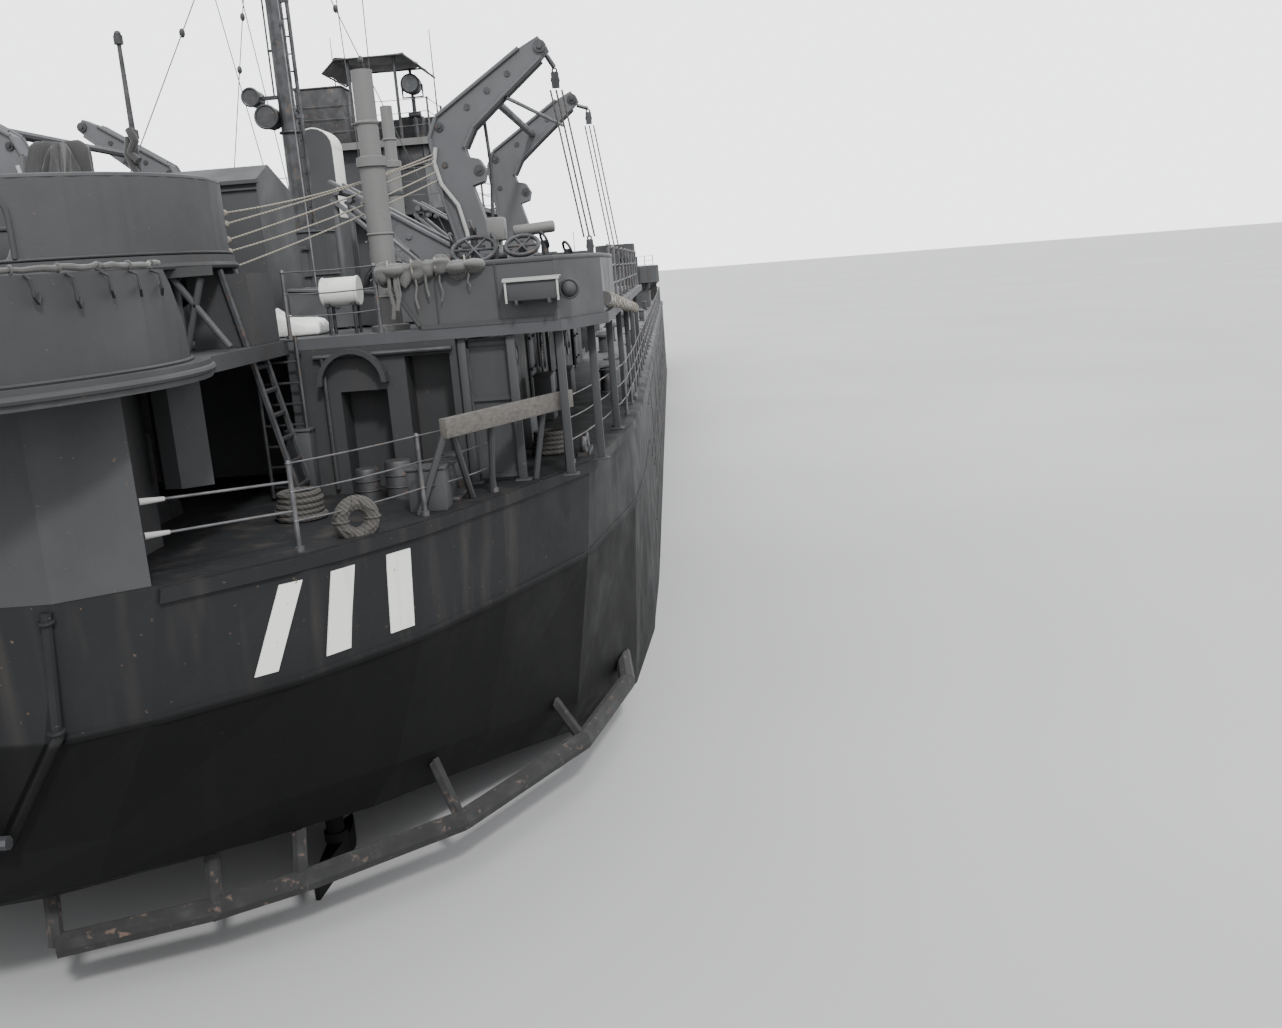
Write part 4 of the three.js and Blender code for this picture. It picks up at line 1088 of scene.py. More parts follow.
class SHIP_OT_quarter(bpy.types.Operator):
    """Dress the quarter bulwark: rim, stiffeners, boxes, lamps, drums and canvas bundles"""
    bl_idname = "ship.quarter"
    bl_label = "Quarter"

    def execute(self, context):
        top = BULWARK_TOP
        half = 0.015
        rim = wire([(4.38, 5.06, top), (6.84, 5.06, top), (7.41, 6.43, top), (7.41, 10.2, top)], 0.045, 3)
        parts = [rim, rod((4.87, 5.0, UPPER_DECK + 0.05), (4.4, 5.0, top), 0.03, 6)]
        parts.extend(slabs([*[(x - half, x + half, 5.13, 5.45, 0.01, 0.7) for x in (5.3, 6.1, 6.75)],
                            *[(7.05, 7.36, v - half, v + half, 0.01, 0.7) for v in (6.8, 7.7, 8.6, 9.5)],
                            (4.9, 6.86, 4.99, 5.04, 0, 0.06)], UPPER_DECK))
        for x in (5.15, 6.02):
            parts.append(rod((x, 5.03, UPPER_DECK + 0.06), (x, 5.03, top), 0.012, 6))
        made("bulwark_trim", mirrored(parts), HOUSE)
        box = slabs([(6.18, 6.92, 4.72, 5.02, 2.6, 2.88), (6.15, 6.95, 4.69, 5.02, 2.87, 2.91),
                     (6.3, 6.34, 4.7, 5.03, 2.55, 2.62), (6.76, 6.8, 4.7, 5.03, 2.55, 2.62)], MAIN_DECK)
        box[0] = rounded(box[0], 0.02)
        made("bulwark_boxes", mirrored(box), HOUSE, edge=0.01)
        edges = slabs([(6.15, 6.95, 4.685, 4.7, 2.87, 2.91), (6.17, 6.2, 4.7, 4.73, 2.58, 2.88),
                       (6.9, 6.93, 4.7, 4.73, 2.58, 2.88), (6.15, 6.95, 4.72, 5.02, 2.91, 2.925)], MAIN_DECK)
        made("box_edges", mirrored(edges), PALE, edge=0.005)
        x, z = 7.06, MAIN_DECK + 2.72
        lamp = [rod((x, 5.2, z), (x, 4.88, z), 0.09, 16, 0.13), ring((x, 4.88, z), 0.13, 0.02, ALONG, 20)]
        made("quarter_lamps", mirrored(lamp), HOUSE)
        glass = [ball((x, 4.9, z), 0.115, 1, 8)]
        made("quarter_lamp_glass", mirrored(glass), ("house finish", "pale_paint"))
        z = MAIN_DECK + 2.92
        drum = [rod((3.33, 5.75, z), (3.88, 5.75, z), 0.21, 28),
                *[ring((x, 5.75, z), 0.2, 0.022, ACROSS, 28) for x in (3.35, 3.86)]]
        made("stowage_drums", mirrored(drum), MARK)
        stand = []
        for x in (3.42, 3.8):
            stand.extend(upright(x, v, UPPER_DECK, 0.45, 0.025, 6) for v in (5.62, 5.88))
            stand.append(slab(x - 0.03, x + 0.03, 5.58, 5.92, UPPER_DECK + 0.41, UPPER_DECK + 0.46))
        made("drum_stands", mirrored(stand), GEAR)
        deck_rail([(2.98, 5.05), (4.3, 5.05)], UPPER_DECK, "after_rails", height=0.95)
        self.bundles()
        return {"FINISHED"}

    def bundles(self):
        """Lashed canvas bundles laid over the end of each bulwark, with folds hanging below."""
        rng = random.Random(8)
        parts = []
        for x in (4.42, 4.6, 4.74, 4.93, 5.08, 5.27, 5.5, 5.72):
            wide, high = rng.uniform(0.1, 0.19), rng.uniform(0.05, 0.11)
            lift = BULWARK_TOP + rng.uniform(-0.03, 0.06)
            one = ball((x, 5.03, lift), wide, high / wide, 14)
            middle = at(x, 5.03, lift)
            spins = [rng.uniform(0, 6) for _ in range(3)]
            for corner in one.data.vertices:
                way = corner.co - middle
                turn = math.atan2(way.z, way.y)
                swell = 0.2 * math.sin(3 * turn + spins[0])
                swell += 0.15 * math.sin(5 * turn + 60 * way.x + spins[1])
                swell += 0.1 * math.sin(9 * turn + spins[2])
                way.z *= 1 + swell
                way.y *= 1 + swell * 0.6
                if way.z < 0:
                    way.z *= 1.8
                corner.co = middle + way
            parts.append(one)
        for x, drop, thick in ((4.5, 0.62, 0.026), (4.58, 0.5, 0.03), (4.62, 0.4, 0.018), (4.86, 0.5, 0.014),
                               (5.02, 0.34, 0.016), (5.22, 0.42, 0.012), (5.62, 0.25, 0.012)):
            drape = [(x, 5.03, UPPER_DECK + 0.9), (x + 0.03, 4.95, UPPER_DECK + 0.8)]
            drape.extend((x + 0.03 + 0.02 * math.sin(9 * x + 7 * step), 4.95, UPPER_DECK + 0.8 - step * drop)
                         for step in (0.35, 0.7, 1.0))
            parts.append(wire(drape, thick, 3))
        piece = made("canvas_bundles", mirrored(parts), ("pale canvas finish", "canvas"), smooth=70)
        lash = [ring((x, 5.05, BULWARK_TOP), 0.13, 0.014, (0, math.pi / 2, 0.2), 20)
                for x in (4.5, 4.84, 5.18, 5.6)]
        made("bundle_lashings", mirrored(lash), ROPE)


class SHIP_OT_stacks(bpy.types.Operator):
    """Add the stacks' shells, bands and mouths, and the pale cap of the round locker"""
    bl_idname = "ship.stacks"
    bl_label = "Stacks"

    def execute(self, context):
        parts = []
        mouths = []
        for x, v, radius, top in ((4.3, 5.7, 0.145, 13.65), (2.34, 16.0, 0.13, 14.55)):
            foot = radius + 0.034
            rows = [(0, UPPER_DECK), (foot + 0.1, UPPER_DECK), (foot + 0.1, UPPER_DECK + 0.08),
                    (foot, UPPER_DECK + 0.1), (foot, top - 1.34), (foot + 0.04, top - 1.33),
                    (foot + 0.04, top - 1.2), (radius + 0.006, top - 1.18), (radius + 0.006, top), (0, top)]
            parts.append(spun(rows, x, v, 28))
            for z in (UPPER_DECK + 0.5, UPPER_DECK + 1.4):
                parts.append(ring((x, v, z), foot, 0.018, segments=24))
            parts.append(ring((x, v, top - 0.72), radius, 0.03, segments=24))
            # A near-black disc over each mouth is painted shadow for the dark inside of the stack
            mouths.append(rod((x, v, top - 0.02), (x, v, top + 0.006), radius * 0.86, 18))
            for i in range(5):
                z = UPPER_DECK + 0.75 + 0.55 * i
                parts.append(rod((x - foot - 0.02, v - 0.1, z), (x - foot - 0.02, v + 0.1, z), 0.014, 6))
        made("stack_shells", parts, LIGHT)
        made("stack_mouths", mouths, ("void finish", "gear_steel"))
        cap = [rod((0.14, 17.56, 13.95), (0.14, 18.44, 13.95), 0.475, 48),
               slab(0.585, 0.612, 17.56, 18.44, 12.3, 13.95)]
        made("locker_cap", cap, MARK, edge=0.015)
        return {"FINISHED"}


class SHIP_OT_deck_edge(bpy.types.Operator):
    """Fence the main deck and the upper deck with stanchions and wires"""
    bl_idname = "ship.deck_edge"
    bl_label = "Deck edge"

    def execute(self, context):
        for name, lengths in (("quarter_rails", (1.33, 2.96, 4.34)),
                              ("side_rails", (6.4, 8.5, 12, 16, 20, 24, 28, 34, 40, 46, 52, 58, 64, 69.4)),
                              ("forward_rails", (73.5, 77, 80.5, 83.5))):
            deck_rail([(deck_edge_x(v, 0.14), v) for v in lengths], MAIN_DECK, name)
        deck_rail([(7.36, 10.5), (7.36, 27.3), (5.8, 28.3)], UPPER_DECK, "upper_rails")
        self.poop_wires()
        self.plank_rail()
        return {"FINISHED"}

    def poop_wires(self):
        """Two rods from the poop's corner to the first stanchions, with pale end sockets."""
        rods = []
        sockets = []
        for share, height in ((0.68, 0.89), (0.35, 0.51)):
            start = (2.6, 0.34, MAIN_DECK + height)
            end = (deck_edge_x(1.33, 0.14), 1.33, MAIN_DECK + 1.05 * share + 0.12)
            rods.append(wire([start, end], 0.016, 2))
            sockets.append(rod(start, tuple(Vector(start).lerp(Vector(end), 0.16)), 0.04, 10, 0.025))
        made("poop_rods", mirrored(rods), WIRE)
        made("rod_sockets", mirrored(sockets), PALE)

    def plank_rail(self):
        """The wide plank on raking struts at each quarter."""
        top = MAIN_DECK + 1.1
        a, b = (5.43, 3.07, top), (6.86, 5.69, top)
        plank = slab(-0.06, 0.06, 0, 1, -0.13, 0.13)
        along = Vector(b) - Vector(a)
        turn = Vector((along.x, along.y, 0)).to_track_quat("Y", "Z").to_matrix().to_4x4()
        stretch = Matrix.Scale(along.length, 4, (0, 1, 0))
        parts = [moved_copy(plank, Matrix.Translation(at(*a)) @ turn @ stretch @ HOME)]
        bpy.data.objects.remove(plank)
        made("plank_rail", mirrored(parts), ("plank finish", "house_paint"), edge=0.012)
        struts = []
        # Foot of each strut, and the share of the plank's length where it ends
        for x, v, share in ((5.01, 3.03, 0.02), (5.78, 4.34, 0.36), (6.3, 5.2, 0.78), (6.72, 5.9, 0.97)):
            point = Vector(a).lerp(Vector(b), share)
            struts.append(rod((x, v, MAIN_DECK), (point.x - 0.04, point.y, point.z - 0.1), 0.045, 8))
        struts.append(rod((5.55, 4.0, MAIN_DECK), (5.5, 3.3, top - 0.1), 0.05, 8))
        made("plank_struts", mirrored(struts), HOUSE)


class SHIP_OT_deck_fittings(bpy.types.Operator):
    """Set bitts, fairleads, ventilators, lashing points, reels, hatches and fenders on the decks"""
    bl_idname = "ship.deck_fittings"
    bl_label = "Deck fittings"

    # Places of the twin bitts on each side: [x, v]
    BITTS = ((5.21, 4.35), (6.75, 17), (6.75, 34), (6.75, 52), (6.6, 66), (6.4, 80))
    # Ventilators on the main deck
    VENTS = ((5.9, 30.5), (5.9, 36.5), (5.9, 47), (5.9, 57), (5.9, 62.5), (5.6, 77.5))

    def execute(self, context):
        pairs = [part for x, v in self.BITTS for part in bitts(x, v, MAIN_DECK, sides=18)]
        made("twin_bitts", mirrored(pairs), GEAR, edge=0.012)
        leads = []
        for v in (7.4, 15.2, 32, 50, 64, 78.5):
            x = deck_edge_x(v, 0.2)
            leads.append(slab(x - 0.1, x + 0.1, v - 0.42, v + 0.42, MAIN_DECK, MAIN_DECK + 0.07))
            for step in (-0.3, 0.3):
                leads.append(ring((x, v + step, MAIN_DECK + 0.16), 0.11, 0.05, ACROSS, 16))
        made("fairleads", mirrored(leads), GEAR)
        vents = [part for x, v in self.VENTS for part in mushroom_vent(x, v, MAIN_DECK)]
        for x, v in ((4.6, 11.5), (4.7, 18.5), (4.6, 24.5), (2.3, 19.2)):
            vents.extend(mushroom_vent(x, v, UPPER_DECK))
        made("mushroom_vents", mirrored(vents), HOUSE)
        rings = []
        for v in range(30, 84, 3):
            over_hatch = 52 < v < 66
            for x in (3.6, 5.0) if over_hatch else (1.6, 3.6, 5.0):
                rings.append(upright(x, v, MAIN_DECK, 0.03, 0.13, 12))
                rings.append(ring((x, v, MAIN_DECK + 0.06), 0.08, 0.02, ACROSS, 10))
        made("lashing_points", mirrored(rings), GEAR)
        self.reels()
        self.scuttles()
        self.fender()
        return {"FINISHED"}

    def reels(self):
        """Rope reels on stands at each side of the main deck."""
        frames = []
        turns = []
        for v in (31.5, 75.5):
            x, z = 5.0, MAIN_DECK + 0.55
            for step in (-0.42, 0.42):
                frames.append(rod((x, v + step, z), (x, v + step * 1.08, z), 0.42, 24))
                for foot in (x - 0.3, x + 0.22):
                    frames.append(slab(foot, foot + 0.08, v + step - 0.03, v + step + 0.03, MAIN_DECK, z))
            for i in range(9):
                turns.append(ring((x, v - 0.34 + 0.085 * i, z), 0.27, 0.045, ALONG, 24))
            turns.append(rod((x, v - 0.4, z), (x, v + 0.4, z), 0.26, 20))
        made("reel_frames", mirrored(frames), GEAR)
        made("reel_turns", mirrored(turns), ROPE)

    def scuttles(self):
        """Raised hatches with hinged covers, and flush manholes."""
        parts = []
        top = MAIN_DECK + 0.42
        for x, v in ((4.6, 33.5), (4.6, 43.5), (4.6, 60), (4.3, 79.5)):
            parts.append(slab(x - 0.42, x + 0.42, v - 0.42, v + 0.42, MAIN_DECK, top))
            parts.append(slab(x - 0.47, x + 0.47, v - 0.47, v + 0.47, top, top + 0.08))
            for y in (v - 0.3, v + 0.3):
                parts.append(rod((x - 0.56, y, top + 0.02), (x - 0.4, y, top + 0.02), 0.04, 8))
                parts.append(slab(x + 0.44, x + 0.56, y - 0.04, y + 0.04, top - 0.02, top + 0.04))
            parts.append(ring((x, v, top + 0.2), 0.14, 0.02, segments=16))
            parts.append(upright(x, v, top + 0.08, 0.12, 0.03, 8))
        made("deck_scuttles", mirrored(parts), HOUSE, edge=0.01)
        holes = []
        for x, v in ((3.2, 29.5), (6.4, 27), (6.3, 41), (3.0, 48.5), (6.3, 55), (3.0, 70), (2.4, 76)):
            holes.append(upright(x, v, MAIN_DECK, 0.03, 0.32, 24))
            for degrees in range(0, 360, 45):
                holes.append(upright(*around(x, v, 0.25, degrees), MAIN_DECK + 0.02, 0.03, 0.02, 6))
        made("manholes", mirrored(holes), DECK)

    def fender(self):
        """A round rope fender on the deck edge with its lashing."""
        x, v, z = 4.45, 2.05, MAIN_DECK + 0.2
        yaw, radius = 0.6, 0.2
        parts = [ring((x, v, z), radius, 0.1, (math.pi / 2, 0, yaw), 28)]
        for i in range(10):
            a = math.tau * i / 10
            out = radius * math.cos(a)
            spot = (x + out * 0.825, v + out * 0.565, z + radius * math.sin(a))
            parts.append(ring(spot, 0.102, 0.016, (0, a, yaw), 12))
        made("rope_fenders", mirrored(parts), TARRED_ROPE)


class SHIP_OT_bay(bpy.types.Operator):
    """Fit the bay under the upper deck: posts, screen, doors, lockers and pipes"""
    bl_idname = "ship.bay"
    bl_label = "After bay"

    def execute(self, context):
        head = UPPER_DECK - 0.16
        posts = []
        for x, v in ((5.42, 5.12), (6.13, 5.12), (6.82, 5.3), (7.2, 6.6),
                     *[(7.3, v) for v in (10, 14, 18, 22, 26)]):
            posts.append(slab(x - 0.06, x + 0.06, v - 0.05, v + 0.05, MAIN_DECK, head))
            posts.append(slab(x - 0.12, x + 0.12, v - 0.1, v + 0.1, MAIN_DECK, MAIN_DECK + 0.03))
        made("upper_deck_posts", mirrored(posts), HOUSE, edge=0.01)
        screen = [slab(5.5, 6.05, 5.22, 5.26, MAIN_DECK + 0.02, head - 0.03)]
        for z in (MAIN_DECK + 1.2, MAIN_DECK + 0.06, head - 0.14):
            screen.append(slab(5.5, 6.05, 5.18, 5.22, z, z + 0.06))
        made("side_screens", mirrored(screen), HOUSE)
        doors = []
        for v in (9.0, 13.5, 19.5, 25.0):
            doors.extend(door_parts(HOUSE_SIDE, v, MAIN_DECK))
        made("house_doors", mirrored(doors), HOUSE)
        ports("house", [(HOUSE_SIDE, v, "x") for v in (6.8, 11.2, 15.8, 17.4, 22.2, 27.0)],
              MAIN_DECK + 1.45, 0.17)
        self.stores()
        self.pipes()
        return {"FINISHED"}

    def stores(self):
        """Lockers, drums and coiled ropes along the bay's walls."""
        rng = random.Random(5)
        boxes = []
        # Middle, after face, width, depth and height of each locker
        for x, v, w, d, h in ((5.1, 3.2, 0.5, 0.4, 0.55), (3.0, 4.7, 0.35, 0.25, 1.0),
                              (5.75, 8.2, 0.35, 0.9, 0.7), (5.75, 12.0, 0.35, 0.8, 0.9),
                              (5.75, 16.6, 0.35, 1.1, 0.6)):
            half, lid = w / 2, w / 2 + 0.02
            top = MAIN_DECK + h
            boxes.append(slab(x - half, x + half, v, v + d, MAIN_DECK, top))
            boxes.append(slab(x - lid, x + lid, v - 0.02, v + d + 0.02, top, top + 0.04))
        made("bay_lockers", mirrored(boxes), HOUSE, edge=0.015)
        drums = []
        for x, v, r, h in ((4.45, 4.5, 0.2, 0.5), (4.0, 4.45, 0.17, 0.42)):
            top = MAIN_DECK + h
            drums.append(spun([(0, MAIN_DECK), (r, MAIN_DECK), (r, top), (r * 0.9, top + 0.03),
                               (0, top + 0.03)], x, v, 22))
            for z in (0.33, 0.66):
                drums.append(ring((x, v, MAIN_DECK + h * z), r, 0.012, segments=22))
        made("bay_drums", mirrored(drums), DARK_GEAR)
        coils = []
        for x, v in ((6.3, 7.6), (3.35, 3.35)):
            for i in range(5):
                spot = (x + rng.uniform(-0.02, 0.02), v, MAIN_DECK + 0.05 + 0.075 * i)
                coils.append(ring(spot, 0.3 - 0.012 * i, 0.042, segments=32))
        made("bay_coils", mirrored(coils), TARRED_ROPE)

    def pipes(self):
        """Fire main, risers and hose racks on the after walls."""
        high = MAIN_DECK + 2.02
        low = MAIN_DECK + 0.9
        runs = [wire([(3.3, 4.95, high), (5.3, 4.95, high)], 0.04, 3),
                wire([(3.42, 4.95, high), (3.42, 4.95, MAIN_DECK + 0.1)], 0.035, 3),
                wire([(5.42, 5.6, high - 0.02), (5.42, 27.5, high - 0.02)], 0.05, 3)]
        for v in (7.6, 14.6, 21.0):
            runs.append(wire([(5.44, v, high - 0.02), (5.44, v, low)], 0.03, 2))
            runs.append(ring((5.56, v, low + 0.05), 0.09, 0.016, ACROSS, 16))
            for turn in range(6):
                runs.append(ring((5.46, v + 0.5, low + 0.02 * turn), 0.1 + 0.05 * turn, 0.02, ACROSS, 20))
        made("fire_main", mirrored(runs), GEAR)


class SHIP_OT_upper_works(bpy.types.Operator):
    """Dress the upper deck: hand wheels, tanks, shelter, mast house and life floats"""
    bl_idname = "ship.upper_works"
    bl_label = "Upper works"

    def execute(self, context):
        wheels = []
        lean = math.radians(35)
        for x, radius, z in ((5.57, 0.33, 3.38), (6.3, 0.25, 3.39)):
            spot = (x, 6.2, MAIN_DECK + z)
            wheels.append(ring(spot, radius, 0.035, (lean, 0, 0), 28))
            for i in range(3):
                a = math.pi * i / 3
                rise = radius * math.sin(a)
                off = Vector((radius * math.cos(a), rise * math.cos(lean), rise * math.sin(lean)))
                wheels.append(rod(tuple(Vector(spot) - off), tuple(Vector(spot) + off), 0.022, 6))
            wheels.append(rod((x, 6.35, UPPER_DECK), (x, 6.25, MAIN_DECK + z), 0.07, 12))
            wheels.append(slab(x - 0.2, x + 0.2, 6.15, 6.6, UPPER_DECK, UPPER_DECK + 0.55))
        made("hand_wheels", mirrored(wheels), GEAR)
        tanks = []
        axis = UPPER_DECK + 0.4
        for x, v, r, length in ((6.2, 7.2, 0.28, 0.9), (5.0, 6.7, 0.2, 0.6)):
            tanks.append(rod((x - length / 2, v, axis), (x + length / 2, v, axis), r, 24))
            for step in (-0.3, 0.3):
                middle = x + step * length
                tanks.append(slab(middle - 0.04, middle + 0.04, v - r, v + r, UPPER_DECK, axis - 0.1))
        made("deck_tanks", mirrored(tanks), HOUSE, edge=0.03)
        trim = []
        side = 1.88
        for z in (UPPER_DECK + 0.05, UPPER_DECK + 2.36):
            trim.append(rod((-side, 7.78, z), (side, 7.78, z), 0.03, 6))
        trim.append(slab(-side - 0.06, side + 0.06, 7.7, 7.82, UPPER_DECK + 2.44, UPPER_DECK + 2.5))
        trim.extend(slab(x - 0.02, x + 0.02, 7.74, 7.8, UPPER_DECK + 0.05, UPPER_DECK + 2.4)
                    for x in (-1.2, -0.4, 0.4, 1.2))
        made("shelter_trim", trim, HOUSE)
        doors = door_parts(-0.8, 7.79, UPPER_DECK + 0.05, 0.7, 1.7, "v")
        doors.extend(door_parts(0.0, 15.66, UPPER_DECK + 0.05, 0.5, 1.5, "v"))
        made("shelter_doors", doors, HOUSE)
        bands = [ring((0, MAST_V, UPPER_DECK + z), 0.72, 0.02, segments=40) for z in (0.06, 1.0, 1.97)]
        made("mast_house_bands", bands, HOUSE)
        rafts = []
        for v in (19.0, 22.5):
            for i in range(3):
                z = UPPER_DECK + 0.25 + 0.3 * i
                rafts.append(rounded(slab(5.6, 6.7, v - 1.2, v + 1.2, z - 0.13, z + 0.13), 0.1, 3))
        made("life_floats", mirrored(rafts), HOUSE)
        lashings = []
        for v in (19.0, 22.5):
            for step in (-0.7, 0.0, 0.7):
                corners = ((5.55, 0), (5.57, 1.0), (6.73, 1.0), (6.75, 0))
                lashings.append(wire([(x, v + step, UPPER_DECK + z) for x, z in corners], 0.02, 2))
        made("float_lashings", mirrored(lashings), ROPE)
        return {"FINISHED"}


class SHIP_OT_mast_rig(bpy.types.Operator):
    """Fit the mast's ladder, bands, lamps, stays and halyards"""
    bl_idname = "ship.mast_rig"
    bl_label = "Mast rig"

    # The two lamps' [x, height, radius]
    LAMPS = ((-0.42, 14.55, 0.25), (-0.72, 15.0, 0.19))

    def execute(self, context):
        foot = UPPER_DECK + 2.0
        ladder = upright_ladder(0.0, MAST_V + 0.2, foot, 22.0, 0.36, (0, 1), 0.38)
        ladder.append(wire([(-0.26, MAST_V, 15.0), (-0.26, MAST_V, 21.8)], 0.022, 2))
        for z in (16.0, 18.0, 20.5):
            ladder.append(rod((-0.28, MAST_V, z), (0, MAST_V, z), 0.03, 6))
        made("mast_ladder", ladder, GEAR)
        fittings = []
        for z, radius in ((foot + 0.02, 0.3), (14.2, 0.22), (17.4, 0.21), (20.1, 0.19), (22.6, 0.16)):
            fittings.append(ring((0, MAST_V, z), radius, 0.03, segments=24))
        for x in (-2.1, -1.3, 1.3, 2.1):
            fittings.append(rod((x, MAST_V, 22.5), (x, MAST_V, 22.25), 0.05, 8))
            fittings.append(ring((x, MAST_V, 22.56), 0.1, 0.02, ACROSS, 14))
        fittings.append(upright(0, MAST_V, 25.9, 0.05, 0.16, 14))
        for x, z, radius in self.LAMPS:
            fittings.append(ring((x, MAST_V - 0.29, z), radius, 0.03, ALONG, 24))
            reach = radius + 0.03
            fittings.append(rod((x - reach, MAST_V, z), (x + reach, MAST_V, z), 0.03, 8))
        made("mast_fittings", fittings, GEAR)
        lamps = [rod((x, MAST_V - 0.3, z), (x, MAST_V - 0.27, z), radius * 0.88, 24)
                 for x, z, radius in self.LAMPS]
        made("mast_lamp_glass", lamps, DARK_GEAR)
        self.stays()
        return {"FINISHED"}

    def stays(self):
        """Standing stays and halyards, all taut and fixed."""
        rows = []
        for side in (-1, 1):
            for name, step, foot in (("aft", -0.12, (side * 2.3, 9.0)), ("fore", 0.12, (side * 3.4, 19.8))):
                head = (side * 0.12, MAST_V + step, 20.0)
                rows.append((f"stay_{name}_{side}", head, (*foot, UPPER_DECK + 0.05)))
            for x in (1.3, 2.1):
                foot = (side * (x * 0.55 + 0.2), 18.9, 12.55)
                rows.append((f"halyard_{side}_{x}", (side * x, MAST_V, 22.24), foot))
        hardware = []
        for name, head, foot in rows:
            a, b = Vector(head), Vector(foot)
            way = (b - a).normalized()
            hardware.append(rod(tuple(b - way * 0.45), tuple(b - way * 0.12), 0.045, 8))
            hardware.extend(ball(tuple(a.lerp(b, share)), 0.06, 1.6, 5) for share in (0.3, 0.41))
            hardware.append(ring((b.x, b.y, b.z + 0.03), 0.07, 0.02, ACROSS, 12))
            line = wire([tuple(a + way * 0.05), tuple(b - way * 0.1)], 0.012, 1)
            made(f"{name}_wire", [line], WIRE)
        made("stay_screws", hardware, GEAR)


class SHIP_OT_davits(bpy.types.Operator):
    """Dress the davit arms and their tracks on both sides"""
    bl_idname = "ship.davits"
    bl_label = "Davits"

    ARMS = (8.2, 14.6)
    # From the starboard arms' place to the port arms' place, after mirroring
    STOWED = Matrix.Translation(Vector((2.75, 0, 0.26)) * MODEL) @ Matrix.Scale(-1, 4, (1, 0, 0))

    def both(self, name, parts, look):
        """The starboard arms' piece and its port twin at the stowed place."""
        pair(name, parts, look, ("starboard_davit", "port_davit"), self.STOWED)

    def execute(self, context):
        up = UPPER_DECK
        flanges = []
        inner = [(5.05, 1.2), (4.86, 1.96), (4.74, 2.94), (4.88, 3.26), (6.32, 4.2)]
        outer = [(6.64, 4.02), (5.96, 3.47), (5.46, 3.05), (5.29, 2.75)]
        for v in self.ARMS:
            for side in (-1, 1):
                y = v + side * 0.19
                for line in (inner, outer):
                    for (x0, h0), (x1, h1) in zip(line, line[1:]):
                        flanges.append(rod((x0, y, up + h0), (x1, y, up + h1), 0.035, 6))
            flanges.append(wire([(x, v, up + h) for x, h in [(5.0, 3.35), (6.3, 4.21)]], 0.03, 2))
        self.both("arm_flanges", flanges, DAVIT)
        sheaves = []
        for v in self.ARMS:
            for x, h, radius, half in ((6.66, 4.2, 0.1, 0.21), (4.92, 3.1, 0.07, 0.2), (5.5, 2.38, 0.08, 0.2),
                                       (5.3, 1.3, 0.07, 0.2), (5.42, 0.55, 0.2, 0.24)):
                for reach, r, sides in ((half, radius, 22), (half + 0.03, radius * 0.4, 10)):
                    sheaves.append(rod((x, v - reach, up + h), (x, v + reach, up + h), r, sides))
            for x, h in ((6.1, 3.83), (5.75, 3.6), (5.4, 3.37), (4.95, 2.5), (5.15, 0.9), (5.5, 0.9)):
                for side in (-1, 1):
                    sheaves.append(rod((x, v + side * 0.15, up + h), (x, v + side * 0.19, up + h), 0.05, 8))
        self.both("arm_sheaves", sheaves, GEAR)
        ties = [rod((6.01, 8.2, MAIN_DECK + 5.8), (6.4, 14.6, MAIN_DECK + 6.0), 0.035, 8),
                wire(path_over(MAIN_DECK, ((5.6, 8.42, 5.55), (5.64, 8.45, 4.7), (5.58, 8.42, 3.9))), 0.03)]
        self.both("arm_ties", ties, GEAR)
        bends = ((4.83, 5.08), (4.78, 4.85), (4.86, 4.5), (5.1, 4.15), (5.2, 3.7), (5.24, 3.2))
        conduit = [wire(path_over(MAIN_DECK, [(x, 7.98, z) for x, z in bends]), 0.035, 3)]
        self.both("arm_conduit", conduit, ("pale finish", "gear_steel"))
        self.tracks()
        self.winches()
        return {"FINISHED"}

    def tracks(self):
        up = UPPER_DECK
        parts = []
        for v in self.ARMS:
            for side in (-1, 1):
                y = v + side * 0.42
                for x0, h0, x1, h1 in ((5.1, 1.12, 3.1, 2.37), (4.3, 0.93, 3.1, 2.08), (4.2, 0.5, 2.2, 0.7)):
                    flat = slab(0, 1, -0.14, 0.14, -0.02, 0.02)
                    run = Vector((x1 - x0, 0, h1 - h0))
                    turn = Matrix.Rotation(-math.atan2(run.z, run.x), 4, "Y")
                    stretch = Matrix.Scale(run.length, 4, (1, 0, 0))
                    place = Matrix.Translation(at(x0, y, up + h0))
                    parts.append(moved_copy(flat, place @ turn @ stretch @ HOME))
                    bpy.data.objects.remove(flat)
                for x, h in ((5.5, 0.2), (4.9, 0.7), (4.3, 1.4), (3.4, 2.05), (4.6, 0.3), (3.8, 0.4),
                             (3.0, 0.4)):
                    parts.append(rod((x, y - 0.13, up + h), (x, y + 0.13, up + h), 0.045, 8))
            for x, h in ((3.2, 2.2), (2.3, 0.3)):
                parts.append(rod((x, v - 0.55, up + h), (x, v + 0.55, up + h), 0.06, 10))
            for y in (v - 0.45, v + 0.45):
                parts.append(upright(3.15, y, up, 2.15, 0.05, 10))
        made("track_fittings", mirrored(parts), DAVIT)

    def winches(self):
        """Cranks, guards and wire turns of the boat winches."""
        up = UPPER_DECK
        x, v = 3.55, 10.0
        turns = [ring((x, v - 0.6 + 0.08 * i, up + 0.6), 0.34, 0.038, ALONG, 28) for i in range(16)]
        made("winch_wire", mirrored(turns), WIRE)
        parts = [rod((x, v + 0.8, up + 0.6), (x, v + 1.0, up + 0.6), 0.05, 10),
                 slab(x - 0.03, x + 0.03, v + 0.95, v + 1.0, up + 0.3, up + 0.62),
                 rod((x, v + 0.98, up + 0.32), (x, v + 1.25, up + 0.32), 0.03, 8),
                 ring((x, v - 0.84, up + 0.6), 0.42, 0.03, ALONG, 28)]
        parts.extend(spokes(x, v - 0.84, up + 0.6, 0.42, 0.02, 6))
        made("winch_cranks", mirrored(parts), GEAR)


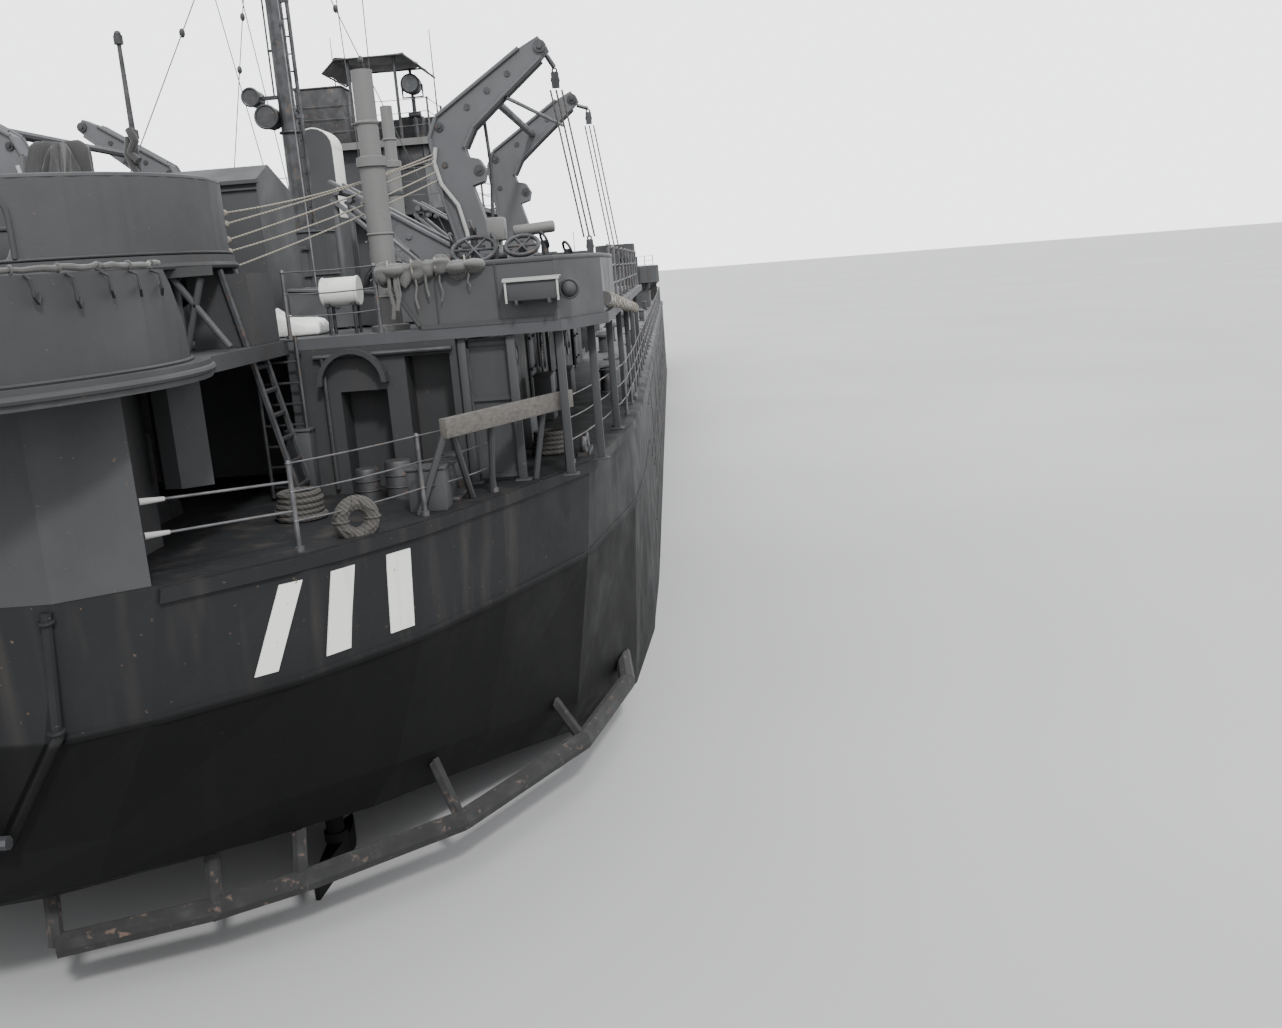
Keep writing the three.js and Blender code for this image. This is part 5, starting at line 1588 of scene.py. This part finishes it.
class SHIP_OT_falls(bpy.types.Operator):
    """Hang the boat falls and the slack lines from the starboard davits"""
    bl_idname = "ship.falls"
    bl_label = "Falls"

    def rope(self, name, start, end, sag, radius):
        """A line from the davit to the ship, with its place baked into its mesh."""
        places = sagging(start, end, sag, 18)
        line = made(name, [wire(places, radius, 2)], ROPE if sag else TARRED_ROPE, body=None)
        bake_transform(line)
        return line

    def block(self, x, v, z, size):
        """A rope block: two cheeks, a sheave and an eye."""
        half = size * 0.5
        return [slab(x - half, x + half, v - size * 0.45, v - size * 0.3, z - size, z + size),
                slab(x - half, x + half, v + size * 0.3, v + size * 0.45, z - size, z + size),
                rod((x, v - size * 0.28, z), (x, v + size * 0.28, z), size * 0.62, 18),
                ring((x, v, z + size * 1.25), size * 0.3, size * 0.12, ALONG, 14)]

    def execute(self, context):
        heads = []
        feet = []
        # Each arm's place along the ship, and x and height of the upper and lower blocks
        for v, top, low in ((8.2, (6.85, MAIN_DECK + 5.99), (7.19, MAIN_DECK + 3.33)),
                            (14.6, (6.97, MAIN_DECK + 6.1), (7.32, MAIN_DECK + 3.1))):
            heads.extend(self.block(top[0], v, top[1], 0.12))
            heads.append(rod((6.74, v, MAIN_DECK + 6.38), (top[0], v, top[1] + 0.2), 0.04, 8))
            feet.extend(self.block(low[0], v, low[1], 0.11))
            feet.append(rod((low[0], v, low[1] - 0.15), (low[0] - 0.02, v, low[1] - 0.35), 0.035, 8))
            for i, step in enumerate((-0.09, 0.0, 0.09)):
                self.rope(f"fall_{int(v)}_{i}", (top[0] + step, v + step * 0.3, top[1] - 0.15),
                          (low[0] + step, v - step * 0.3, low[1] + 0.15), 0.0, 0.015)
        made("fall_heads", heads, GEAR, "starboard_davit")
        made("fall_feet", feet, GEAR)
        knots = []
        # Height of each line's ends above the main deck, and its sag
        rows = ((4.98, 4.13, 0.11), (4.92, 3.98, 0.03), (4.85, 3.76, 0.04),
                (4.7, 3.6, 0.08), (4.56, 3.37, 0.04))
        for i, (high, low, sag) in enumerate(rows):
            start = (4.8, 7.98, MAIN_DECK + high)
            end = (2.29, 5.02, MAIN_DECK + low)
            self.rope(f"slack_line_{i}", start, end, sag, 0.013)
            knots.append(ball(end, 0.05, 1, 5))
        made("line_hitches", knots, ROPE)
        return {"FINISHED"}


class SHIP_OT_bridge(bpy.types.Operator):
    """Dress the wheelhouse, the bridge deck and the conning station"""
    bl_idname = "ship.bridge"
    bl_label = "Bridge"

    def execute(self, context):
        deck = UPPER_DECK + 2.55
        ports("bridge", [*[(WHEELHOUSE_SIDE, v, "x") for v in (21.6, 23.0, 24.4, 25.8)],
                         (1.0, 20.79, "v"), (2.2, 20.79, "v")], UPPER_DECK + 1.55, 0.19)
        doors = door_parts(WHEELHOUSE_SIDE, 26.2, UPPER_DECK + 0.02, 0.7, 1.7)
        made("bridge_doors", mirrored(doors), HOUSE)
        deck_rail([(0.55, 20.3), (3.4, 20.3), (3.4, 28.0), (0.0, 28.0)], deck, "bridge_rails")
        self.conn(deck)
        self.awning()
        return {"FINISHED"}

    def conn(self, deck):
        """Beads, stiffeners, rails, ladder, boxes and searchlight of the open conning station."""
        port, starboard, floor, foot, rim = -1.75, 2.05, 14.45, 14.57, 15.6
        aft, fore = 22.9, 27.1
        trim = [wire([(port + 0.04, aft, rim), (port + 0.04, fore - 0.04, rim),
                      (starboard, fore - 0.04, rim)], 0.05, 2)]
        for v in (23.6, 24.6, 25.6, 26.6):
            trim.append(slab(port - 0.04, port + 0.01, v - 0.03, v + 0.03, floor, rim))
        for x in (-1.2, -0.4, 0.4, 1.2, 1.9):
            trim.append(slab(x - 0.03, x + 0.03, fore - 0.01, fore + 0.04, floor, rim))
        for v in (23.4, 24.8, 26.2):
            trim.append(rod((1.71, v, floor - 0.5), (2.0, v, floor - 0.02), 0.04, 8))
        made("conn_trim", trim, HOUSE)
        edge = slabs([(port - 0.03, starboard + 0.03, aft - 0.03, aft, floor - 0.04, foot + 0.03),
                      (starboard, starboard + 0.03, aft, fore, floor - 0.04, foot + 0.03)])
        made("conn_edge", edge, LIGHT)
        deck_rail([(port + 0.05, aft + 0.03), (starboard - 0.05, aft + 0.03), (starboard - 0.05, fore)],
                  foot, "conn_rails", height=1.08, both=False)
        ladder = upright_ladder(0.8, 23.19, deck, foot + 0.1, 0.4, (0, -1), 0.3)
        made("conn_ladder", ladder, GEAR)
        # The last slab, under the conn floor, is a dark sheet of painted shadow; the others are boxes
        box = slabs([(-1.73, -0.39, 22.97, 24.03, foot, 16.12), (-1.76, -0.36, 22.94, 24.06, 16.12, 16.17),
                     (0.5, 1.2, 26.2, 26.7, foot, 15.6), (0.98, 1.68, 23.1, 23.2, 13.85, 14.42)])
        made("conn_boxes", box, DARK_GEAR, edge=0.02)
        x, v, z = 1.23, 24.95, MAIN_DECK + 8.65
        low = z - 0.35
        light = [rod((x, v - 0.25, z), (x, v + 0.2, z), 0.27, 24),
                 ring((x, v - 0.25, z), 0.26, 0.03, ALONG, 28),
                 wire([(x - 0.3, v, z), (x - 0.3, v, low), (x + 0.3, v, low), (x + 0.3, v, z)], 0.03, 2),
                 rod((x, v, foot), (x, v, low), 0.06, 12),
                 rod((x - 0.18, v, foot + 0.9), (x + 0.18, v, foot + 0.9), 0.09, 12)]
        light.extend(rod((side * 1.55, 26.95, foot), (side * 1.55, 26.95, 18.2), 0.03, 8, 0.012)
                     for side in (-1, 1))
        made("searchlight", light, GEAR)
        lens = [rod((x, v - 0.26, z), (x, v - 0.29, z), 0.235, 24)]
        made("searchlight_glass", lens, ("glass finish", "gear_steel"))

    def awning(self):
        """A taut canvas roof with sagging bays on a pipe frame, for the plain canopy."""
        v0, v1 = 23.5, 26.1
        section = [(-1.0, 16.66), (-0.62, 17.0), (1.35, 17.0), (1.73, 16.7)]
        frame_parts = []
        for v in (v0, v1):
            frame_parts.append(wire([(x, v, z - 0.06) for x, z in section], 0.03, 2))
        for x, z in section:
            frame_parts.append(wire([(x, v0, z - 0.06), (x, v1, z - 0.06)], 0.026, 2))
        for x in (-0.3, 1.03):
            for v in (v0 + 0.2, v1 - 0.2):
                frame_parts.append(upright(x, v, 14.58, 2.36, 0.045, 10))
        made("awning_frame", frame_parts, GEAR)
        outline = []
        for (x0, z0), (x1, z1) in zip(section, section[1:]):
            steps = max(6, round(abs(x1 - x0) / 0.08))
            for i in range(steps):
                t = i / steps
                sag = 0.05 * math.sin(math.pi * t)
                outline.append((x0 + (x1 - x0) * t, z0 + (z1 - z0) * t - sag))
        outline.append(section[-1])
        rows = 26
        vertices = []
        for r in range(rows + 1):
            t = r / rows
            dip = 0.03 * math.sin(math.pi * ((t * 2) % 1.0))
            for x, z in outline:
                wave = 0.008 * math.sin(9 * x + 14 * t)
                vertices.append(at(x, v0 + (v1 - v0) * t, z - dip + wave))
        n = len(outline)
        faces = [(r * n + c, r * n + c + 1, (r + 1) * n + c + 1, (r + 1) * n + c)
                 for r in range(rows) for c in range(n - 1)]
        obj = from_places("awning", vertices, [], faces)
        only(obj)
        thick = obj.modifiers.new("cloth", "SOLIDIFY")
        thick.thickness = 0.0012
        bpy.ops.object.modifier_apply(modifier=thick.name)
        reshaped(obj, faced_out)
        piece = made("awning", [obj], CANVAS, smooth=70)
        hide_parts("conn_canopy")


class SHIP_OT_stern_gear(bpy.types.Operator):
    """Rig the stern anchor's wire, winch and roller, and the transom's pipes"""
    bl_idname = "ship.stern_gear"
    bl_label = "Stern gear"

    def execute(self, context):
        v, z = 3.4, MAIN_DECK + 1.05
        turns = [ring((-0.8 + 0.1 * i, v, z), 0.57, 0.048, ACROSS, 28) for i in range(17)]
        lead = [(0, v - 0.6, z + 0.12), (0, 0.9, 8.25), (0, -0.3, 7.86), (0, -0.6, 7.95)]
        turns.append(wire(lead, 0.045, 2))
        made("stern_wire", turns, WIRE)
        gear = [rod((-half, -0.2, 7.5), (half, -0.2, 7.5), radius, 22)
                for half, radius in ((0.74, 0.13), (0.1, 0.2))]
        gear.append(ring((0, -0.62, 7.98), 0.1, 0.035, ACROSS))
        gear.extend(ring((side, v, z), 0.85, 0.04, ACROSS, 40) for side in (-0.95, 0.95))
        gear.append(ring((1.12, v, z), 0.5, 0.03, ACROSS, 32))
        for i in range(6):
            a = math.pi * i / 3
            gear.append(rod((1.12, v, z), (1.12, v + 0.5 * math.cos(a), z + 0.5 * math.sin(a)), 0.022, 6))
        gear.extend(slabs([(-0.6, 0.6, v + 0.55, v + 1.0, z - 0.2, z - 0.1),
                           (-1.3, -1.2, v - 0.9, v + 0.9, 7.87, 7.95),
                           (1.2, 1.3, v - 0.9, v + 0.9, 7.87, 7.95),
                           (0.55, 0.85, v + 0.6, v + 0.95, 7.75, 8.6)]))
        gear.extend(upright(x, v + step, 7.87, 0.06, 0.05, 6)
                    for x in (-1.1, -0.4, 0.4, 1.1) for step in (-0.9, 0.9))
        made("stern_winch_gear", gear, GEAR)
        pipes = [wire([(1.8, -0.44, 7.6), (1.69, -0.45, 6.23), (0.9, -0.46, 4.99)], 0.06, 3)]
        pipes.extend(ring(spot, 0.07, 0.025, (0.2, 0, 0), 16)
                     for spot in ((1.79, -0.44, 7.5), (1.69, -0.45, 6.3)))
        made("transom_pipes", mirrored(pipes), SHELL)
        return {"FINISHED"}


class SHIP_OT_stowage(bpy.types.Operator):
    """Lash the net rolls, fold the pale cover, and set boxes and valves behind the bulwark"""
    bl_idname = "ship.stowage"
    bl_label = "Stowage"

    def execute(self, context):
        rng = random.Random(21)
        count = 90
        places = []
        for i in range(count + 1):
            t = i / count
            places.append((7.46 + rng.uniform(-0.01, 0.01), 6.6 + 13.4 * t,
                           10.17 - 0.66 * t + rng.uniform(-0.012, 0.012)))
        curve = line_curve([at(*p) for p in places], 0.1, 4)
        for point in curve.data.splines[0].points:
            point.radius = rng.uniform(0.85, 1.12)
        roll = made("net_rolls", mirrored([as_mesh(curve)]), CANVAS)
        lash = [ring(places[i], 0.112, 0.016, ALONG, 16) for i in range(4, count, 6)]
        made("net_lashings", mirrored(lash), ROPE)
        inner, outer = 2.3, 3.15
        cloth = rounded(slab(inner, outer, 5.95, 6.75, UPPER_DECK + 0.01, UPPER_DECK + 0.13), 0.05, 4)
        reshaped(cloth, lambda: bpy.ops.mesh.subdivide(number_cuts=5))
        base = at(0, 0, UPPER_DECK + 0.02).z
        for corner in cloth.data.vertices:
            x, y, z = corner.co
            slope = 2.2 * (outer * MODEL - x) / ((outer - inner) * MODEL)
            folds = 0.5 * math.sin(90 * x + 40 * y) + 0.4 * math.sin(150 * y - 60 * x)
            corner.co.z += max(0.0, z - base) * (slope + folds)
        cover = made("folded_cover", [cloth], ("white canvas finish", "canvas"), smooth=60)
        boxes = slabs([(5.72, 6.0, 6.62, 6.95, 1.2, 1.55), (5.8, 5.92, 6.7, 6.85, 0, 1.2),
                       (3.9, 4.2, 6.5, 6.8, 0.95, 1.2), (4.0, 4.1, 6.6, 6.7, 0, 0.95)], UPPER_DECK)
        boxes.append(rod((6.1, 6.9, MAIN_DECK + 3.62), (6.75, 6.9, MAIN_DECK + 3.66), 0.09, 18))
        made("pale_boxes", mirrored(boxes), ("light finish", "pale_paint"), edge=0.03)
        valves = []
        for x, v, high in ((5.2, 6.6, 1.25), (5.5, 6.75, 1.42), (5.85, 6.5, 1.2), (6.6, 6.6, 1.15),
                           (6.9, 7.1, 1.0), (5.0, 7.2, 0.9)):
            arm = UPPER_DECK + high * 0.8
            valves.append(upright(x, v, UPPER_DECK, high, 0.06, 10))
            valves.append(rod((x - 0.18, v, arm), (x + 0.18, v, arm), 0.05, 10))
            valves.append(ring((x, v, UPPER_DECK + high), 0.12, 0.022, (1.2, 0, 0.3 * x), 16))
        pipe = path_over(UPPER_DECK, ((5.0, 7.2, 0.6), (5.5, 6.9, 0.95), (6.2, 6.8, 0.8), (6.9, 7.1, 0.7)))
        valves.append(wire(pipe, 0.03, 2))
        made("valve_gear", mirrored(valves), GEAR)
        return {"FINISHED"}


class SHIP_OT_tub_trims(bpy.types.Operator):
    """Bead, stiffen and bracket the five open tubs forward"""
    bl_idname = "ship.tub_trims"
    bl_label = "Forward tubs"

    # [x, v, floor, radius]; each wall stands a metre above its floor
    TUBS = ((0, 93.65, 11.0, 1.9), (6.15, 71.45, 9.4, 1.45), (-6.15, 71.45, 9.4, 1.45),
            (4.0, 87.85, 11.2, 1.6), (-4.0, 87.85, 11.2, 1.6))

    def execute(self, context):
        trim = []
        brackets = []
        lockers = []
        for x, v, floor, radius in self.TUBS:
            trim.append(ring((x, v, floor + 1), radius - 0.045, 0.047, segments=56))
            trim.append(ring((x, v, floor - 0.06), radius - 0.01, 0.045, segments=56))
            for degrees in range(0, 360, 30):
                trim.append(upright(*around(x, v, radius - 0.01, degrees), floor - 0.05, 1.02, 0.022, 6))
                foot = around(x, v, radius * 0.56, degrees)
                head = around(x, v, radius * 0.93, degrees)
                brackets.append(rod((*foot, floor - 0.6), (*head, floor - 0.1), 0.035, 6))
            box = slab(radius - 0.5, radius - 0.13, -0.3, 0.3, 0.01, 0.5)
            lockers.extend(round_about(box, range(20, 360, 60), x, v, floor))
            lockers.append(ring((x, v, floor + 0.03), radius * 0.42, 0.04, segments=32))
            lockers.append(upright(x, v, floor, 0.05, radius * 0.3, 28))
        made("tub_beads", trim, HOUSE)
        made("tub_brackets", brackets, HOUSE)
        made("tub_lockers", lockers, DECK, edge=0.012)
        return {"FINISHED"}


class SHIP_OT_forecastle(bpy.types.Operator):
    """Fit the forecastle: cap rail, stays, chain, bitts, rails, ladders, doors and jackstaff"""
    bl_idname = "ship.forecastle"
    bl_label = "Forecastle"

    # Cap of the starboard bulwark: [x, v]
    EDGE = ((5.66, 89.45), (4.71, 91.45), (3.91, 92.95), (2.96, 94.45), (1.81, 95.95),
            (0.77, 96.93), (0.2, 97.35))

    def execute(self, context):
        deck = FORECASTLE
        cap = [wire([(x, v, deck + 1.0) for x, v in self.EDGE], 0.05, 2)]
        for (x0, v0), (x1, v1) in zip(self.EDGE[:-2], self.EDGE[1:]):
            for t in (0.15, 0.65):
                x, v = x0 + (x1 - x0) * t, v0 + (v1 - v0) * t
                cap.append(rod((x - 0.5, v - 0.12, deck), (x - 0.13, v, deck + 0.9), 0.035, 6))
        made("bulwark_cap", mirrored(cap), SHELL)
        links = []
        for i in range(15):
            t = i / 14
            spot = (0.8 + 0.62 * t, 90.2 + 1.5 * t, deck + 1.12 - 1.02 * t ** 0.7)
            links.append(ring(spot, 0.085, 0.032, (0, math.pi / 2 * (i % 2), 0.4), 12))
        made("anchor_chains", mirrored(links), DARK_GEAR)
        fittings = bitts(3.6, 90.6, deck, 25) + bitts(2.2, 88.4, deck) + bitts(5.4, 86.3, deck, 10)
        fittings.append(upright(1.45, 91.75, deck, 0.16, 0.2, 20))
        for x, v in ((4.2, 92.2), (1.3, 96.2)):
            fittings.append(slab(x - 0.3, x + 0.1, v - 0.25, v + 0.25, deck, deck + 0.1))
            fittings.append(ring((x - 0.1, v, deck + 0.2), 0.13, 0.05, (0, math.pi / 2, 0.6), 16))
        fittings.extend(ring((0.8, 89.85, deck + 0.75), radius, 0.03, ACROSS, 28) for radius in (0.45, 0.52))
        made("forecastle_gear", mirrored(fittings), GEAR, edge=0.01)
        deck_rail([(0.4, 85.05), (7.05, 85.05), (6.35, 87.4), (5.7, 89.2)], deck, "forecastle_rails")
        ladder = upright_ladder(2.4, FORECASTLE_WALL_V, MAIN_DECK, deck + 0.1, 0.5)
        for x, v, floor, radius in SHIP_OT_tub_trims.TUBS:
            if x < 0:
                continue
            base = deck if v > 80 else MAIN_DECK
            ladder.extend(upright_ladder(x, v - radius, base, floor + 1.0, 0.4))
        made("forward_ladders", mirrored(ladder), GEAR)
        doors = []
        for x in (1.3, 3.9, 5.6):
            doors.extend(door_parts(x, FORECASTLE_WALL_V, MAIN_DECK + 0.02, face="v"))
        made("forecastle_doors", mirrored(doors), HOUSE)
        v = 97.15
        staff = [upright(0, v, deck, 3.6, 0.05, 10, 0.025),
                 ball((0, v, deck + 3.62), 0.06, 1, 6),
                 upright(0, v, deck, 0.3, 0.1, 12)]
        made("jackstaff", staff, GEAR)
        vents = mushroom_vent(5.2, 88.6, deck) + mushroom_vent(1.6, 86.4, deck)
        made("forecastle_vents", mirrored(vents), HOUSE)
        return {"FINISHED"}


class SHIP_OT_bow(bpy.types.Operator):
    """Stiffen the bow doors, cleat the ramp and trim the tank deck behind them"""
    bl_idname = "ship.bow"
    bl_label = "Bow"

    def on_door(self, share, z, off=0.03):
        """A place on the starboard door's outer face: share of the way to the stem, and height."""
        stem = 48.5 + (z - 2.05) / 5.55 * 1.48
        a, b = Vector((3.4, 45.46, z)), Vector((0.03, stem, z))
        spot = a.lerp(b, share)
        along = (b - a).normalized()
        out = Vector((-along.y, along.x, 0)) * -1
        out = out if out.x > 0 else -out
        spot += out * off
        return (spot.x, spot.y - STERN, z)

    def execute(self, context):
        doors = ("starboard_bow_door", "port_bow_door")
        belts = []
        for z in (2.5, 3.5, 4.5, 5.5, 6.5, 7.35):
            belts.append(wire([self.on_door(0.06, z, 0.02), self.on_door(0.94, z, 0.02)], 0.045, 2))
        for share in (0.1, 0.5, 0.9):
            belts.append(wire([self.on_door(share, 2.3, 0.015), self.on_door(share, 7.4, 0.015)], 0.035, 2))
        pair("door_belts", belts, SHELL, doors)
        hinges = []
        for z in (2.7, 4.8, 6.9):
            hinges.append(upright(3.42, 92.93, z, 0.5, 0.1, 16))
            strap = [self.on_door(share, z + 0.25, 0.05) for share in (0.02, 0.3)]
            hinges.append(wire(strap, 0.07, 2))
        hinges.append(ring(self.on_door(0.62, 5.0, 0.06), 0.16, 0.035, (math.pi / 2, 0, 0.75), 18))
        pair("door_hinges", hinges, GEAR, doors)
        cleats = slabs([(-2.0, 2.0, 0.5 + 0.42 * i, 0.58 + 0.42 * i, 0.15, 0.19) for i in range(15)])
        for side in (-1, 1):
            edge = side * 1.95
            cleats.append(slab(edge - 0.05, edge + 0.05, 0.3, 6.8, 0.15, 0.24))
            cleats.append(upright(side * 1.7, 6.85, -0.1, 0.22, 0.12, 14))
        # Laid flat from the ramp's hinge, then raised to its rest angle
        cleats = joined(cleats)
        hinge = Matrix.Translation(at(0, 41.54 - STERN, 3.15))
        raised = moved_copy(cleats, hinge @ Matrix.Rotation(math.radians(57), 4, "X") @ HOME)
        bpy.data.objects.remove(cleats)
        made("ramp_cleats", [raised], GEAR, "ramp")
        frames = slabs([(4.38, 4.5, 20.5 + 3 * i, 20.62 + 3 * i, 3.32, 7.06) for i in range(21)])
        frames.extend(slabs([*[(4.42, 4.5, 19, 82, z, z + 0.1) for z in (4.1, 5.6)],
                             (1.2, 1.35, 19, 88, 3.3, 3.34), (3.0, 3.15, 19, 84, 3.3, 3.34)]))
        made("tank_deck_frames", mirrored(frames), HOUSE)
        return {"FINISHED"}


class SHIP_OT_underwater(bpy.types.Operator):
    """Fit propeller cones, rudder bands and collars, shaft tubes and the cargo hatch's boards"""
    bl_idname = "ship.underwater"
    bl_label = "Underwater gear"

    def execute(self, context):
        x, z = 3.1, 1.4
        cone = [rod((x, 5.68, z), (x, 5.44, z), 0.2, 18, 0.06), ring((x, 6.1, z), 0.2, 0.02, ALONG, 22)]
        pair("propeller_cone", cone, ("bronze finish", "screw_bronze"),
             ("starboard_propeller", "port_propeller"))
        bands = slabs([(x - 0.14, x + 0.14, 3.4, 4.1, low, low + 0.09) for low in (0.75, 1.55, 2.35)])
        bands.append(upright(x, 3.7, 2.86, 0.14, 0.17, 18))
        pair("rudder_bands", bands, SHELL, ("starboard_rudder", "port_rudder"))
        tubes = [rod((x, 6.66, z), (x, 7.2, z), 0.24, 20, 0.34)]
        made("shaft_bosses", mirrored(tubes), SHELL)
        # The cargo hatch's boards and battens
        boards = slabs([(-1.73, 1.73, 51.65 + 0.58 * i, 52.18 + 0.58 * i, 8.36, 8.41) for i in range(12)])
        made("hatch_boards", boards, ("plank finish", "gear_steel"), edge=0.01)
        battens = slabs([(-1.96, -1.9, 51.5, 58.7, 8.0, 8.08), (1.9, 1.96, 51.5, 58.7, 8.0, 8.08),
                         (-1.8, 1.8, 51.39, 51.45, 8.0, 8.08), (-1.8, 1.8, 58.75, 58.81, 8.0, 8.08)])
        for i in range(11):
            for x in (-1.95, 1.95):
                battens.append(slab(x - 0.07, x + 0.07, 51.75 + 0.66 * i, 51.85 + 0.66 * i, 7.95, 8.16))
        made("hatch_battens", battens, GEAR)
        return {"FINISHED"}


class SHIP_PT_fittings(bpy.types.Panel):
    """Sidebar list of the ship's operators"""
    bl_label = "Landing ship"
    bl_idname = "SHIP_PT_fittings"
    bl_space_type = "VIEW_3D"
    bl_region_type = "UI"
    bl_category = "Landing ship"

    def draw(self, context):
        values = context.scene.landing_ship
        for name in ("rail_height", "rail_pitch", "waterline", "sun_strength"):
            self.layout.prop(values, name)
        for name in ("hull", "deck", "house", "davit", "pale", "mark", "gear", "canvas"):
            self.layout.prop(values.tones, name)
        for step in STEPS:
            self.layout.operator(step.bl_idname)


STEPS = [SHIP_OT_finishes, SHIP_OT_stage, SHIP_OT_hull_trim, SHIP_OT_white_bars,
         SHIP_OT_platform, SHIP_OT_raised_tub, SHIP_OT_stern_ladders, SHIP_OT_quarter,
         SHIP_OT_stacks, SHIP_OT_deck_edge, SHIP_OT_deck_fittings, SHIP_OT_bay,
         SHIP_OT_upper_works, SHIP_OT_mast_rig, SHIP_OT_davits, SHIP_OT_falls, SHIP_OT_bridge,
         SHIP_OT_stern_gear, SHIP_OT_stowage, SHIP_OT_tub_trims, SHIP_OT_forecastle, SHIP_OT_bow,
         SHIP_OT_underwater]
CLASSES = [PaintTones, ShipSettings, *STEPS, SHIP_PT_fittings]


def register():
    for one in CLASSES:
        bpy.utils.register_class(one)
    bpy.types.Scene.landing_ship = bpy.props.PointerProperty(
        type=ShipSettings, name="Landing ship", description="Sizes and colours of the fittings")


def unregister():
    del bpy.types.Scene.landing_ship
    for one in reversed(CLASSES):
        bpy.utils.unregister_class(one)


def main():
    register()
    bpy.ops.ship.finishes()
    bpy.ops.ship.stage()
    bpy.ops.ship.hull_trim()
    bpy.ops.ship.white_bars()
    bpy.ops.ship.platform()
    bpy.ops.ship.raised_tub()
    bpy.ops.ship.stern_ladders()
    bpy.ops.ship.quarter()
    bpy.ops.ship.stacks()
    bpy.ops.ship.deck_edge()
    bpy.ops.ship.deck_fittings()
    bpy.ops.ship.bay()
    bpy.ops.ship.upper_works()
    bpy.ops.ship.mast_rig()
    bpy.ops.ship.davits()
    bpy.ops.ship.falls()
    bpy.ops.ship.bridge()
    bpy.ops.ship.stern_gear()
    bpy.ops.ship.stowage()
    bpy.ops.ship.tub_trims()
    bpy.ops.ship.forecastle()
    bpy.ops.ship.bow()
    bpy.ops.ship.underwater()


if __name__ == "__main__":
    main()
